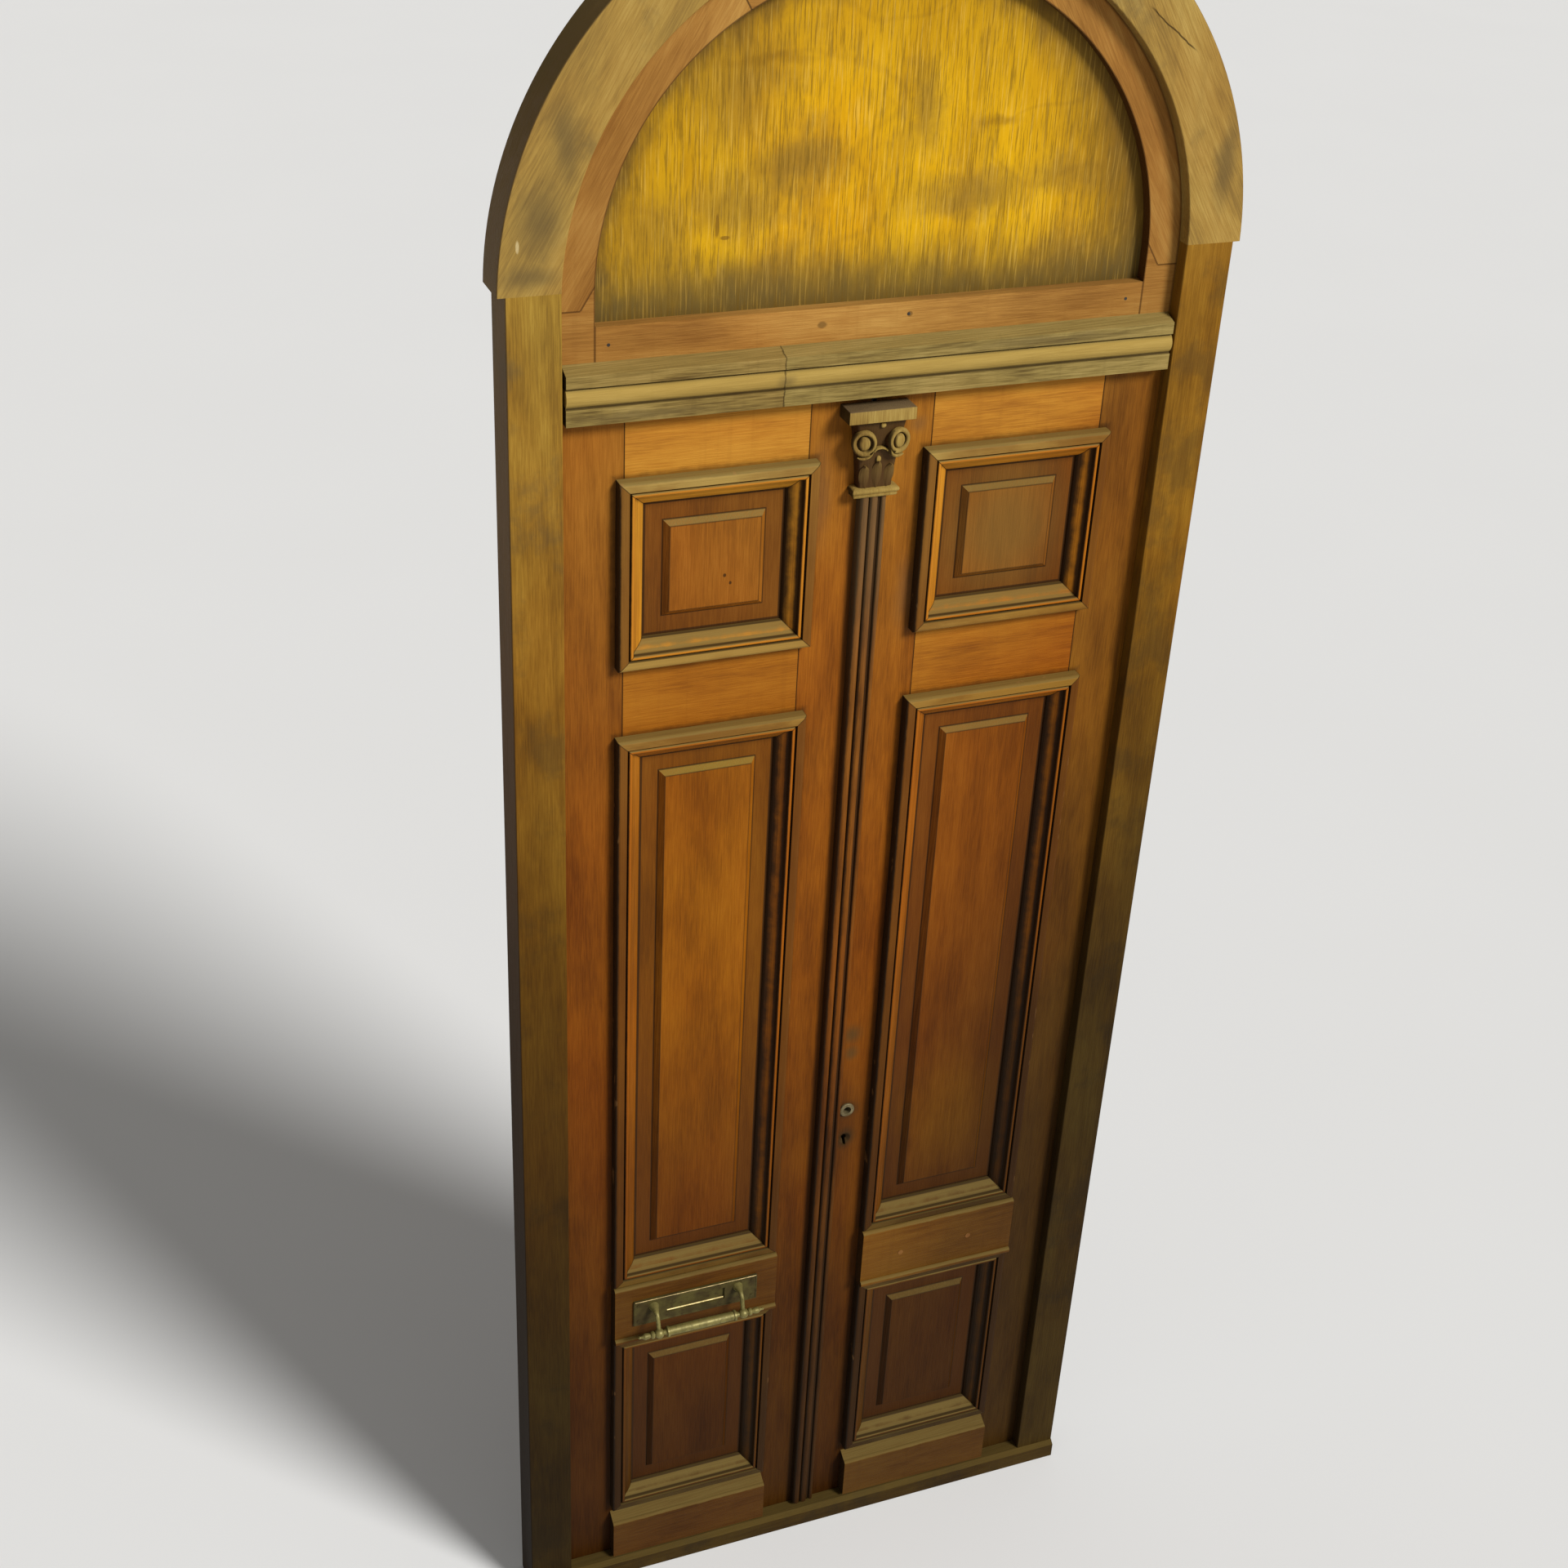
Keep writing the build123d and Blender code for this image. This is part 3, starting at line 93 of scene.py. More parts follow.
class Net:
    """Adds nodes to one tree. A value is a number, a tuple, or another node's output."""

    def __init__(self, tree):
        self.tree = tree

    def put(self, socket, value):
        if isinstance(value, bpy.types.NodeSocket):
            self.tree.links.new(value, socket)
        elif isinstance(value, (int, float)) and hasattr(socket.default_value, "__len__"):
            socket.default_value = [value] * len(socket.default_value)
        else:
            socket.default_value = value

    def node(self, kind, values=None, **settings):
        made = self.tree.nodes.new(kind)
        for name, value in settings.items():
            setattr(made, name, value)
        for key, value in (values or {}).items():
            self.put(made.inputs[key], value)
        return made

    def math(self, operation, *values, clamp=False):
        made = self.node("ShaderNodeMath", dict(enumerate(values)), operation=operation, use_clamp=clamp)
        return made.outputs[0]

    def times(self, first, second):
        return self.math("MULTIPLY", first, second)

    def plus(self, first, second, clamp=False):
        return self.math("ADD", first, second, clamp=clamp)

    def minus(self, first, second):
        return self.math("SUBTRACT", first, second)

    def over(self, first, second):
        return self.math("DIVIDE", first, second)

    def most(self, first, second):
        return self.math("MAXIMUM", first, second)

    def size(self, value):
        return self.math("ABSOLUTE", value)

    def vector(self, operation, *values):
        made = self.node("ShaderNodeVectorMath", operation=operation)
        for socket, value in zip([s for s in made.inputs if s.enabled], values):
            self.put(socket, value)
        return [s for s in made.outputs if s.enabled][0]

    def parts(self, vector):
        return self.node("ShaderNodeSeparateXYZ", {0: vector}).outputs

    def join(self, x, y, z):
        return self.node("ShaderNodeCombineXYZ", {0: x, 1: y, 2: z}).outputs[0]

    def noise(self, place, scale, detail=2.0, rough=0.5, colour=False):
        values = {"Vector": place, "Scale": scale, "Detail": detail, "Roughness": rough}
        return self.node("ShaderNodeTexNoise", values).outputs["Color" if colour else "Fac"]

    def patches(self, place, repeats, detail=2.0, rough=0.5, colour=False):
        """Noise with its own number of repeats a metre along each axis."""
        return self.noise(self.vector("MULTIPLY", place, repeats), 1.0, detail, rough, colour)

    def either_side(self, noise, reach):
        """A noise moved to lie either side of 0, over reach in all."""
        return self.times(self.minus(noise, 0.5), reach)

    def step(self, value, low, high, start=0.0, end=1.0):
        """A smooth change from start to end while value goes from low to high."""
        made = self.node("ShaderNodeMapRange", interpolation_type="SMOOTHSTEP")
        for socket, given in zip(made.inputs, (value, low, high, start, end)):
            self.put(socket, given)
        return made.outputs[0]

    def band(self, value, low, high, soft):
        """1 while value lies between low and high, and 0 outside."""
        rise = self.step(value, low - soft, low + soft)
        fall = self.step(value, high - soft, high + soft, 1.0, 0.0)
        return self.times(rise, fall)

    def line(self, value, at, half, soft):
        """1 where value is within half of at."""
        return self.band(value, at - half, at + half, soft)

    def seam(self, value, near, far, share=1.0):
        """Share where value is about 0, fading out from near to far on both sides."""
        return self.step(self.size(value), near, far, share, 0.0)

    def mix(self, share, first, second, blend="MIX"):
        made = self.node("ShaderNodeMix", data_type="RGBA", blend_type=blend)
        for socket, value in zip([s for s in made.inputs if s.enabled], (share, first, second)):
            self.put(socket, value)
        return [s for s in made.outputs if s.enabled][0]

    def laid(self, colour, mask, share, shade):
        """A colour with a shade laid on it where mask says, at most by share."""
        return self.mix(self.times(mask, share), colour, shade)

    def ramp(self, value, stops):
        made = self.node("ShaderNodeValToRGB", {0: value})
        points = made.color_ramp.elements
        while len(points) < len(stops):
            points.new(0.5)
        for point, (position, colour) in zip(points, stops):
            point.position, point.color = position, colour
        return made.outputs[0]


def effect(name, inputs, outputs):
    """An empty shader group with its named sockets, and its entry and exit."""
    tree = bpy.data.node_groups.new(name, "ShaderNodeTree")
    for label, kind, value in inputs:
        tree.interface.new_socket(label, in_out="INPUT", socket_type=kind).default_value = value
    for label, kind in outputs:
        tree.interface.new_socket(label, in_out="OUTPUT", socket_type=kind)
    net = Net(tree)
    net.entry = net.node("NodeGroupInput").outputs
    net.exit = net.node("NodeGroupOutput").inputs
    return net


VECTOR, VALUE, COLOUR = "NodeSocketVector", "NodeSocketFloat", "NodeSocketColor"
HERE = (0.0, 0.0, 0.0)
WHITE = (1.0, 1.0, 1.0, 1.0)


def make_timber_grain():
    """Growth rings round a heart along Z, long fibres and soft mottling."""
    net = effect(
        "timber_grain",
        [("Place", VECTOR, HERE), ("Seed", VALUE, 0.0), ("Ring Width", VALUE, 0.012),
         ("Fibre Width", VALUE, 0.0026), ("Wander", VALUE, 0.025)],
        [("Figure", VALUE), ("Fibre", VALUE), ("Mottle", VALUE), ("Warm", VALUE), ("Height", VALUE)],
    )
    place, seed, wander = net.entry["Place"], net.entry["Seed"], net.entry["Wander"]
    moved = net.vector("ADD", place, net.join(net.times(seed, 7.31), net.times(seed, 3.17), seed))
    slow = net.patches(moved, (2.4, 2.4, 0.7), 2.0, colour=True)
    slow = net.vector("SUBTRACT", slow, (0.5, 0.5, 0.5))
    bent = net.vector("ADD", place, net.vector("MULTIPLY", slow, net.join(wander, wander, 0.0)))
    from_heart = net.vector("LENGTH", net.vector("MULTIPLY", bent, (1.0, 1.0, 0.0)))
    rings = net.node("ShaderNodeTexNoise", {"Scale": 1.0, "Detail": 2.0}, noise_dimensions="1D")
    net.put(rings.inputs["W"], net.over(from_heart, net.entry["Ring Width"]))
    figure = net.step(rings.outputs["Fac"], 0.25, 0.75)
    thin = net.over(1.0, net.entry["Fibre Width"])
    fibre = net.step(net.patches(moved, net.join(thin, thin, net.times(thin, 0.018)), 3.0, 0.6), 0.28, 0.72)
    mottle = net.step(net.patches(moved, (11.0, 11.0, 3.6), 5.0, 0.6), 0.28, 0.72)
    warm = net.step(net.patches(moved, (4.0, 4.0, 1.9), 4.0, 0.55), 0.42, 0.68)
    for label, value in (("Figure", figure), ("Fibre", fibre), ("Mottle", mottle), ("Warm", warm)):
        net.put(net.exit[label], value)
    net.put(net.exit["Height"], net.plus(net.times(figure, 0.3), fibre))
    return net.tree


def make_height_shade_and_dirt():
    """Painted shade and dirt: how much darker and redder the timber is towards the foot and on the right, as
    a colour to multiply by.
    """
    net = effect(
        "painted_shade_and_dirt_of_height",
        [("Place", VECTOR, HERE), ("Lower", VALUE, 0.0), ("Strength", VALUE, 1.0)],
        [("Tint", COLOUR)],
    )
    place = net.entry["Place"]
    x, _, z = net.parts(place)
    height = net.plus(z, net.either_side(net.patches(place, (4.0, 4.0, 1.2), 3.0), 0.4))
    # Painted shade: the right side is made darker.
    shade_to_the_right = net.times(net.most(net.minus(x, 0.05), 0.0), 1.4)
    height = net.minus(height, net.plus(net.entry["Lower"], shade_to_the_right))
    tint = net.ramp(
        net.over(height, 3.0),
        [(0.0, (0.13, 0.12, 0.12, 1)), (0.14, (0.17, 0.155, 0.14, 1)), (0.25, (0.25, 0.21, 0.15, 1)),
         (0.37, (0.42, 0.32, 0.17, 1)), (0.50, (0.66, 0.50, 0.24, 1)), (0.65, (0.78, 0.62, 0.40, 1)),
         (0.85, WHITE)],
    )
    net.put(net.exit["Tint"], net.mix(net.entry["Strength"], WHITE, tint))
    return net.tree


def make_dust_and_painted_light():
    """Dust and painted top light on what faces up, runs of water, and painted shade on what faces left, away
    from the sun.
    """
    net = effect(
        "ledge_dust_and_painted_light",
        [("Place", VECTOR, HERE), ("Patch", VALUE, 0.03)],
        [("Ledge", VALUE), ("Streak", VALUE), ("Left Side Shade", VALUE)],
    )
    place = net.entry["Place"]
    across, _, up = net.parts(net.node("ShaderNodeTexCoord").outputs["Normal"])
    patch = net.over(1.0, net.entry["Patch"])
    broken = net.either_side(net.patches(place, net.join(patch, patch, patch), 3.0, 0.6), 0.5)
    # Dust and painted top light where the face turns up.
    net.put(net.exit["Ledge"], net.step(net.plus(up, broken), 0.22, 0.62))
    # Painted shade where the face turns left, away from the sun.
    net.put(net.exit["Left Side Shade"], net.step(net.minus(broken, across), 0.30, 0.80))
    runs = net.patches(place, (70.0, 70.0, 2.2), 3.0, 0.6)
    net.put(net.exit["Streak"], net.step(runs, 0.5, 0.78))
    return net.tree


def make_mitred_frame():
    """Distances in a frame mitred round an opening, mirrored over the door's middle."""
    net = effect(
        "mitred_frame",
        [("Place", VECTOR, HERE), ("Middle X", VALUE, 0.0), ("Middle Z", VALUE, 0.0), ("Half X", VALUE, 0.1),
         ("Half Z", VALUE, 0.1)],
        [("Inward", VALUE), ("Level", VALUE), ("Mitre", VALUE)],
    )
    x, _, z = net.parts(net.entry["Place"])
    across = net.minus(net.size(net.minus(net.size(x), net.entry["Middle X"])), net.entry["Half X"])
    up = net.minus(net.size(net.minus(z, net.entry["Middle Z"])), net.entry["Half Z"])
    net.put(net.exit["Inward"], net.times(net.most(across, up), -1.0))
    net.put(net.exit["Level"], net.math("GREATER_THAN", up, across))
    net.put(net.exit["Mitre"], net.size(net.minus(up, across)))
    return net.tree


def make_mark():
    """A knot or worn patch with a ragged edge, round a point on the door's face."""
    net = effect(
        "mark",
        [("Place", VECTOR, HERE), ("X", VALUE, 0.0), ("Z", VALUE, 0.0), ("Half X", VALUE, 0.01),
         ("Half Z", VALUE, 0.01), ("Ragged", VALUE, 0.4)],
        [("Mask", VALUE)],
    )
    x, _, z = net.parts(net.entry["Place"])
    across = net.over(net.minus(x, net.entry["X"]), net.entry["Half X"])
    up = net.over(net.minus(z, net.entry["Z"]), net.entry["Half Z"])
    away = net.vector("LENGTH", net.join(across, up, 0.0))
    away = net.plus(away, net.either_side(net.noise(net.entry["Place"], 120.0, 3.0), net.entry["Ragged"]))
    net.put(net.exit["Mask"], net.step(away, 0.55, 1.0, 1.0, 0.0))
    return net.tree


GRAIN = make_timber_grain()
HEIGHT_SHADE_AND_DIRT = make_height_shade_and_dirt()
DUST_AND_PAINTED_LIGHT = make_dust_and_painted_light()
FRAME_ROUND = make_mitred_frame()
MARK = make_mark()


class Finish(Net):
    """One material: its colour grows layer by layer, and close() gives it its shader."""

    def __init__(self, name):
        self.material = bpy.data.materials.new(name)
        self.material.use_nodes = True
        super().__init__(self.material.node_tree)
        self.shader = self.tree.nodes["Principled BSDF"]
        self.place = self.node("ShaderNodeTexCoord").outputs["Object"]
        self.x, self.y, self.z = self.parts(self.place)

    def use(self, group, **values):
        made = self.node("ShaderNodeGroup", node_tree=group)
        for name, value in values.items():
            self.put(made.inputs[name.replace("_", " ")], value)
        return made.outputs

    def grain(self, centre, turn, heart, **values):
        """The grain with its heart line beside the piece; turn swings it about Y, away from Z."""
        place, lean = self.place, 0.04
        if turn:
            swing = {"Vector": place, "Center": centre, "Angle": turn}
            place = self.node("ShaderNodeVectorRotate", swing, rotation_type="Y_AXIS").outputs[0]
        moved = self.vector("ADD", place, tuple(h - c for h, c in zip((*heart, 0.0), centre)))
        x, y, z = self.parts(moved)
        y = self.plus(y, self.times(z, lean))
        return self.use(GRAIN, Place=self.join(x, y, z), **values)

    def round_opening(self, opening, lap=0.0):
        """Distances inwards from the edge of a panel's opening, or of a moulding that laps over it."""
        low, high = OPENINGS[opening]
        return self.use(
            FRAME_ROUND, Place=self.place, Middle_X=OPENING_MIDDLE, Middle_Z=(low + high) / 2,
            Half_X=OPENING_HALF + lap, Half_Z=(high - low) / 2 + lap,
        )

    def from_springing(self):
        """Height above the arch's springing, and distance out from its centre or, below it, the middle."""
        up = self.most(self.minus(self.z, SPRINGING), 0.0)
        return up, self.vector("LENGTH", self.join(self.x, up, 0.0))

    def spots(self, colour, points, share, shade):
        """Marks of one shade at (x, z, half x, half z)."""
        for x, z, half_x, half_z in points:
            mark = self.use(MARK, Place=self.place, X=x, Z=z, Half_X=half_x, Half_Z=half_z)
            colour = self.laid(colour, mark["Mask"], share, shade)
        return colour

    def clouds(self, colour, points, share, shade, bend=0.12):
        """Wide stains with wandering outlines at (x, z, half x, half z)."""
        drift = self.vector("SUBTRACT", self.noise(self.place, 9.0, 5.0, 0.65, colour=True), (0.5, 0.5, 0.5))
        place = self.vector("ADD", self.place, self.vector("MULTIPLY", drift, (bend, 0.0, bend)))
        whole = None
        for x, z, half_x, half_z in points:
            away = self.vector("SUBTRACT", place, (x, 0.0, z))
            away = self.vector("MULTIPLY", away, (1 / half_x, 0.0, 1 / half_z))
            mark = self.step(self.vector("LENGTH", away), 0.1, 1.1, 1.0, 0.0)
            whole = mark if whole is None else self.most(whole, mark)
        return self.laid(colour, whole, share, shade)

    def close(self, colour, rough, height=None, lift=0.0005, metal=0.0, specular=0.06):
        self.put(self.shader.inputs["Base Color"], colour)
        self.put(self.shader.inputs["Roughness"], rough)
        self.put(self.shader.inputs["Metallic"], metal)
        self.put(self.shader.inputs["Specular IOR Level"], specular)
        if height is not None:
            bump = self.node("ShaderNodeBump", {"Height": height, "Strength": 0.6, "Distance": lift})
            self.put(self.shader.inputs["Normal"], bump.outputs[0])
        return self.material


def middle_of(node):
    low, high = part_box(node)
    return tuple((low + high) / 2)


def wear(node, material):
    for held in nodes[node].material_slots:
        held.material = material


# Ledge colour: grey dust, with painted top light.
DUST_AND_TOP_LIGHT = tone(128, 107, 56)
LEVEL_LIP = tone(158, 130, 68)
# Dark colour for grime, joints and painted shade in creases.
GRIME_AND_SHADE = tone(40, 26, 12)
# Colour of the painted shade on faces that turn away from the sun.
LEFT_SIDE_SHADE = tone(34, 24, 14)


def timber_base(finish, grain, light, middle, dark, figure, fibre):
    """Colour of plain timber from its grain, redder in broad patches."""
    share = finish.plus(finish.times(grain["Figure"], figure), finish.times(grain["Fibre"], fibre))
    share = finish.plus(share, finish.times(grain["Mottle"], 1.0 - figure - fibre), clamp=True)
    colour = finish.ramp(share, [(0.10, dark), (0.5, middle), (0.90, light)])
    return finish.mix(finish.times(grain["Warm"], 0.5), colour, (0.92, 0.74, 0.60, 1.0), "MULTIPLY")


def joinery(name, node, turn=0.0, tones=None, seed=1.0, lower=0.0, shade=1.0, ledge=0.6, rough=0.5,
            layers=None, lines=None, heart=(0.03, 0.09), ring=0.014, figure=0.22, fibre=0.30, side_shade=0.85):
    """Oiled timber: its grain, a piece's own layers, painted shade and dirt towards the foot, runs of dirt,
    dust and painted top light on ledges, painted shade on left-facing faces, and dark lines.
    """
    finish = Finish(name)
    light, middle, dark = tones
    grain = finish.grain(middle_of(node), turn, heart, Seed=seed, Ring_Width=ring)
    colour = timber_base(finish, grain, light, middle, dark, figure, fibre)
    dust_light_and_shade = finish.use(DUST_AND_PAINTED_LIGHT, Place=finish.place)
    colour = finish.laid(colour, dust_light_and_shade["Streak"], 0.2, dark)
    if layers:
        colour = layers(finish, colour, grain)
    # Painted shade and dirt towards the foot.
    tint = finish.use(HEIGHT_SHADE_AND_DIRT, Place=finish.place, Lower=lower, Strength=shade)["Tint"]
    colour = finish.mix(1.0, colour, tint, "MULTIPLY")
    # Ledges: dust and painted top light.
    dust_and_top_light = finish.mix(1.0, DUST_AND_TOP_LIGHT, finish.mix(0.4, WHITE, tint), "MULTIPLY")
    dust_and_top_light = finish.laid(dust_and_top_light, grain["Fibre"], 0.35, colour)
    colour = finish.laid(colour, dust_light_and_shade["Ledge"], ledge, dust_and_top_light)
    # Painted shade on faces that turn left.
    colour = finish.laid(colour, dust_light_and_shade["Left Side Shade"], side_shade, LEFT_SIDE_SHADE)
    if lines:
        colour = lines(finish, colour, grain)
    rough = finish.plus(rough, finish.times(dust_light_and_shade["Ledge"], 0.25))
    return finish.close(colour, rough, grain["Height"])


def clad(node, *values, **others):
    """Gives a piece of joinery a timber of its own."""
    wear(node, joinery(node + "_timber", node, *values, **others))


# Layers that only some pieces have
def beside_mouldings(finish, colour, grain):
    """Painted contact shade and grime in the corner where a moulding stands on the framing, and fine dark
    shoulder lines.
    """
    near = None
    for opening in OPENINGS:
        inward = finish.round_opening(opening, MOULDING_LAP)["Inward"]
        near = inward if near is None else finish.most(near, inward)
    near = finish.plus(near, finish.either_side(finish.noise(finish.place, 60.0), 0.008))
    # Painted contact shade and grime beside the mouldings.
    colour = finish.mix(finish.step(near, -0.012, 0.0, 0.0, 0.55), colour, GRIME_AND_SHADE)
    away = finish.size(finish.x)
    for edge in (STILE_INNER, MEETING_STILE):
        colour = finish.laid(colour, finish.line(away, edge, 0.0011, 0.0006), 0.75, GRIME_AND_SHADE)
    return colour


def along_meeting(finish, colour, grain):
    """The meeting stiles: darker by the strip with painted shade and grime, handled and stained round the
    keyholes.
    """
    colour = beside_mouldings(finish, colour, grain)
    # Painted shade and grime beside the cover strip.
    colour = finish.mix(finish.step(finish.size(finish.x), 0.022, 0.036, 0.55, 0.0), colour, GRIME_AND_SHADE)
    old_lock = [(0.048, 1.345, 0.026, 0.030), (0.048, 1.300, 0.020, 0.022)]
    colour = finish.clouds(colour, old_lock, 0.6, tone(66, 56, 30), 0.02)
    colour = finish.clouds(colour, [(KEYHOLE_X, 1.120, 0.050, 0.150)], 0.35, GRIME_AND_SHADE, 0.04)
    keyholes = [(KEYHOLE_X, 1.157, 0.030, 0.028), (0.048, 1.083, 0.026, 0.032)]
    colour = finish.clouds(colour, keyholes, 0.85, tone(42, 34, 18), 0.02)
    bleached = [(0.085, 2.615, 0.022, 0.022), (0.085, 2.30, 0.03, 0.10), (-0.085, 2.50, 0.03, 0.12)]
    return finish.clouds(colour, bleached, 0.45, tone(100, 72, 44), 0.03)


def board_layers(finish, colour, grain):
    """Brown clouds and faint rims, and a margin of dirt and painted shadow that is deepest at the foot and on
    the right.
    """
    _, out = finish.from_springing()
    ragged = finish.either_side(finish.patches(finish.place, (30.0, 14.0, 12.0), 4.0, 0.65), 0.08)
    clouds = finish.patches(finish.place, (6.5, 5.0, 7.5), 6.0, 0.62)
    bands = finish.patches(finish.place, (8.0, 5.0, 1.4), 3.0, 0.6)
    cloudy = finish.plus(finish.times(clouds, 0.5), finish.times(bands, 0.5))
    colour = finish.mix(finish.step(cloudy, 0.48, 0.62, 0.0, 0.6), colour, tone(150, 112, 34))
    stains = [(-0.25, 3.19, 0.09, 0.17), (-0.25, 3.01, 0.10, 0.08), (-0.15, 3.05, 0.13, 0.06),
              (0.15, 2.99, 0.16, 0.05), (0.33, 3.01, 0.13, 0.05), (0.06, 3.13, 0.05, 0.09),
              (-0.38, 2.95, 0.10, 0.10), (-0.20, 2.87, 0.25, 0.05)]
    colour = finish.clouds(colour, stains, 0.62, tone(122, 94, 40))
    streaks = [(0.19, 3.105, 0.055, 0.012), (-0.20, 3.215, 0.11, 0.012)]
    colour = finish.clouds(colour, streaks, 0.5, tone(112, 76, 20), 0.05)
    colour = finish.mix(finish.step(out, 0.24, 0.44, 0.0, 0.45), colour, tone(158, 116, 20))
    rims = finish.minus(finish.patches(finish.place, (3.4, 3.0, 5.0), 1.0, 0.4), 0.52)
    colour = finish.mix(finish.seam(rims, 0.0, 0.020, 0.15), colour, tone(120, 84, 24))
    # Painted shadow and dirt in a margin along the sash, wider on the right.
    edge = finish.plus(finish.minus(SASH_INNER, out), ragged)
    wide = finish.step(finish.x, 0.1, 0.45, 0.055, 0.14)
    margin = finish.step(finish.over(edge, wide), -0.1, 1.0, 0.92, 0.0)
    colour = finish.mix(margin, colour, tone(92, 68, 32))
    foot = finish.plus(finish.minus(finish.z, RAIL_TOP), ragged)
    return finish.mix(finish.step(foot, 0.0, 0.13, 0.92, 0.0), colour, tone(90, 74, 38))


def make_board():
    """The fanlight's ochre board, finely combed, with a small split."""
    finish = Finish("ochre_board")
    middle = middle_of("fanlight_panel")
    grain = finish.grain(middle, 0.0, (0.0, 0.6), Seed=3.0, Ring_Width=0.02, Fibre_Width=0.0032)
    tones = tone(218, 168, 18), tone(204, 154, 12), tone(180, 132, 12)
    colour = timber_base(finish, grain, *tones, 0.15, 0.25)
    light = finish.step(finish.patches(finish.place, (330.0, 20.0, 13.0), 3.0), 0.52, 0.70)
    colour = finish.laid(colour, light, 0.4, tone(228, 182, 62))
    colour = board_layers(finish, colour, grain)
    fine = finish.patches(finish.place, (380.0, 40.0, 15.0), 3.0, 0.7)
    colour = finish.mix(finish.step(fine, 0.48, 0.64, 0.0, 0.6), colour, tone(104, 78, 24))
    colour = finish.laid(colour, light, 0.24, tone(210, 168, 74))
    split = [(-0.275, 2.965, 0.004, 0.024), (-0.262, 2.945, 0.010, 0.004)]
    colour = finish.spots(colour, split, 0.6, tone(96, 64, 22))
    return finish.close(colour, 0.42, fine, lift=0.0004)


def moulding_finish(name, opening, seed):
    """The mitred moulding: an olive lip, a quirk dark with painted shade and grime, a bead lightened by its
    own tone and a painted highlight, and a hollow.
    """
    finish = Finish(name)
    x, y, z = finish.x, finish.y, finish.z
    round_it = finish.round_opening(opening, MOULDING_LAP)
    inward, level = round_it["Inward"], round_it["Level"]
    along = finish.mix(level, finish.join(x, y, z), finish.join(z, y, x))
    along = finish.vector("ADD", along, (0.11, 0.13, 0.0))
    grain = finish.use(GRAIN, Place=along, Seed=seed, Ring_Width=0.009)
    tones = tone(178, 120, 38), tone(152, 100, 28), tone(122, 78, 24)
    if opening == "top":
        tones = tone(204, 144, 44), tone(178, 122, 34), tone(144, 94, 28)
    colour = timber_base(finish, grain, *tones, 0.25, 0.35)
    lip = finish.band(inward, -0.001, 0.0172, 0.0012)
    colour = finish.laid(colour, lip, 0.85, finish.mix(grain["Mottle"], tone(98, 64, 27), tone(114, 79, 35)))
    # The bead: a lighter orange, its own tone and a painted highlight.
    colour = finish.laid(colour, finish.band(inward, 0.0205, 0.0270, 0.0010), 0.45, tone(184, 114, 34))
    # Painted shade and dirt towards the foot.
    tint = finish.use(HEIGHT_SHADE_AND_DIRT, Place=finish.place)["Tint"]
    colour = finish.mix(1.0, colour, tint, "MULTIPLY")
    dust_light_and_shade = finish.use(DUST_AND_PAINTED_LIGHT, Place=finish.place)
    level_lip = finish.times(lip, finish.times(level, finish.step(grain["Mottle"], 0.1, 0.8, 0.35, 0.95)))
    colour = finish.mix(level_lip, colour, finish.mix(1.0, LEVEL_LIP, tint, "MULTIPLY"))
    # Ledges: dust and painted top light.
    dust_and_top_light = finish.laid(DUST_AND_TOP_LIGHT, grain["Fibre"], 0.4, tone(98, 76, 38))
    dust_and_top_light = finish.mix(1.0, dust_and_top_light, finish.mix(0.42, WHITE, tint), "MULTIPLY")
    colour = finish.laid(colour, dust_light_and_shade["Ledge"], 0.9, dust_and_top_light)
    # Painted shade on faces that turn left.
    colour = finish.laid(colour, dust_light_and_shade["Left Side Shade"], 0.92, LEFT_SIDE_SHADE)
    # Quirks and the hollow's foot: painted shade and grime in the creases.
    for quirk, half in ((0.0187, 0.0015), (0.0275, 0.0008), (0.0480, 0.0012)):
        colour = finish.laid(colour, finish.line(inward, quirk, half, 0.0006), 0.8, GRIME_AND_SHADE)
    colour = finish.mix(finish.step(round_it["Mitre"], 0.0004, 0.0014, 0.7, 0.0), colour, GRIME_AND_SHADE)
    chips = finish.step(finish.patches(finish.place, (60.0, 60.0, 22.0), 2.0), 0.66, 0.70)
    worn = finish.times(chips, finish.band(inward, -0.001, 0.0035, 0.0010))
    colour = finish.laid(colour, worn, 0.28, tone(150, 108, 62))
    rough = finish.plus(0.48, finish.times(dust_light_and_shade["Ledge"], 0.25))
    return finish.close(colour, rough, grain["Height"])


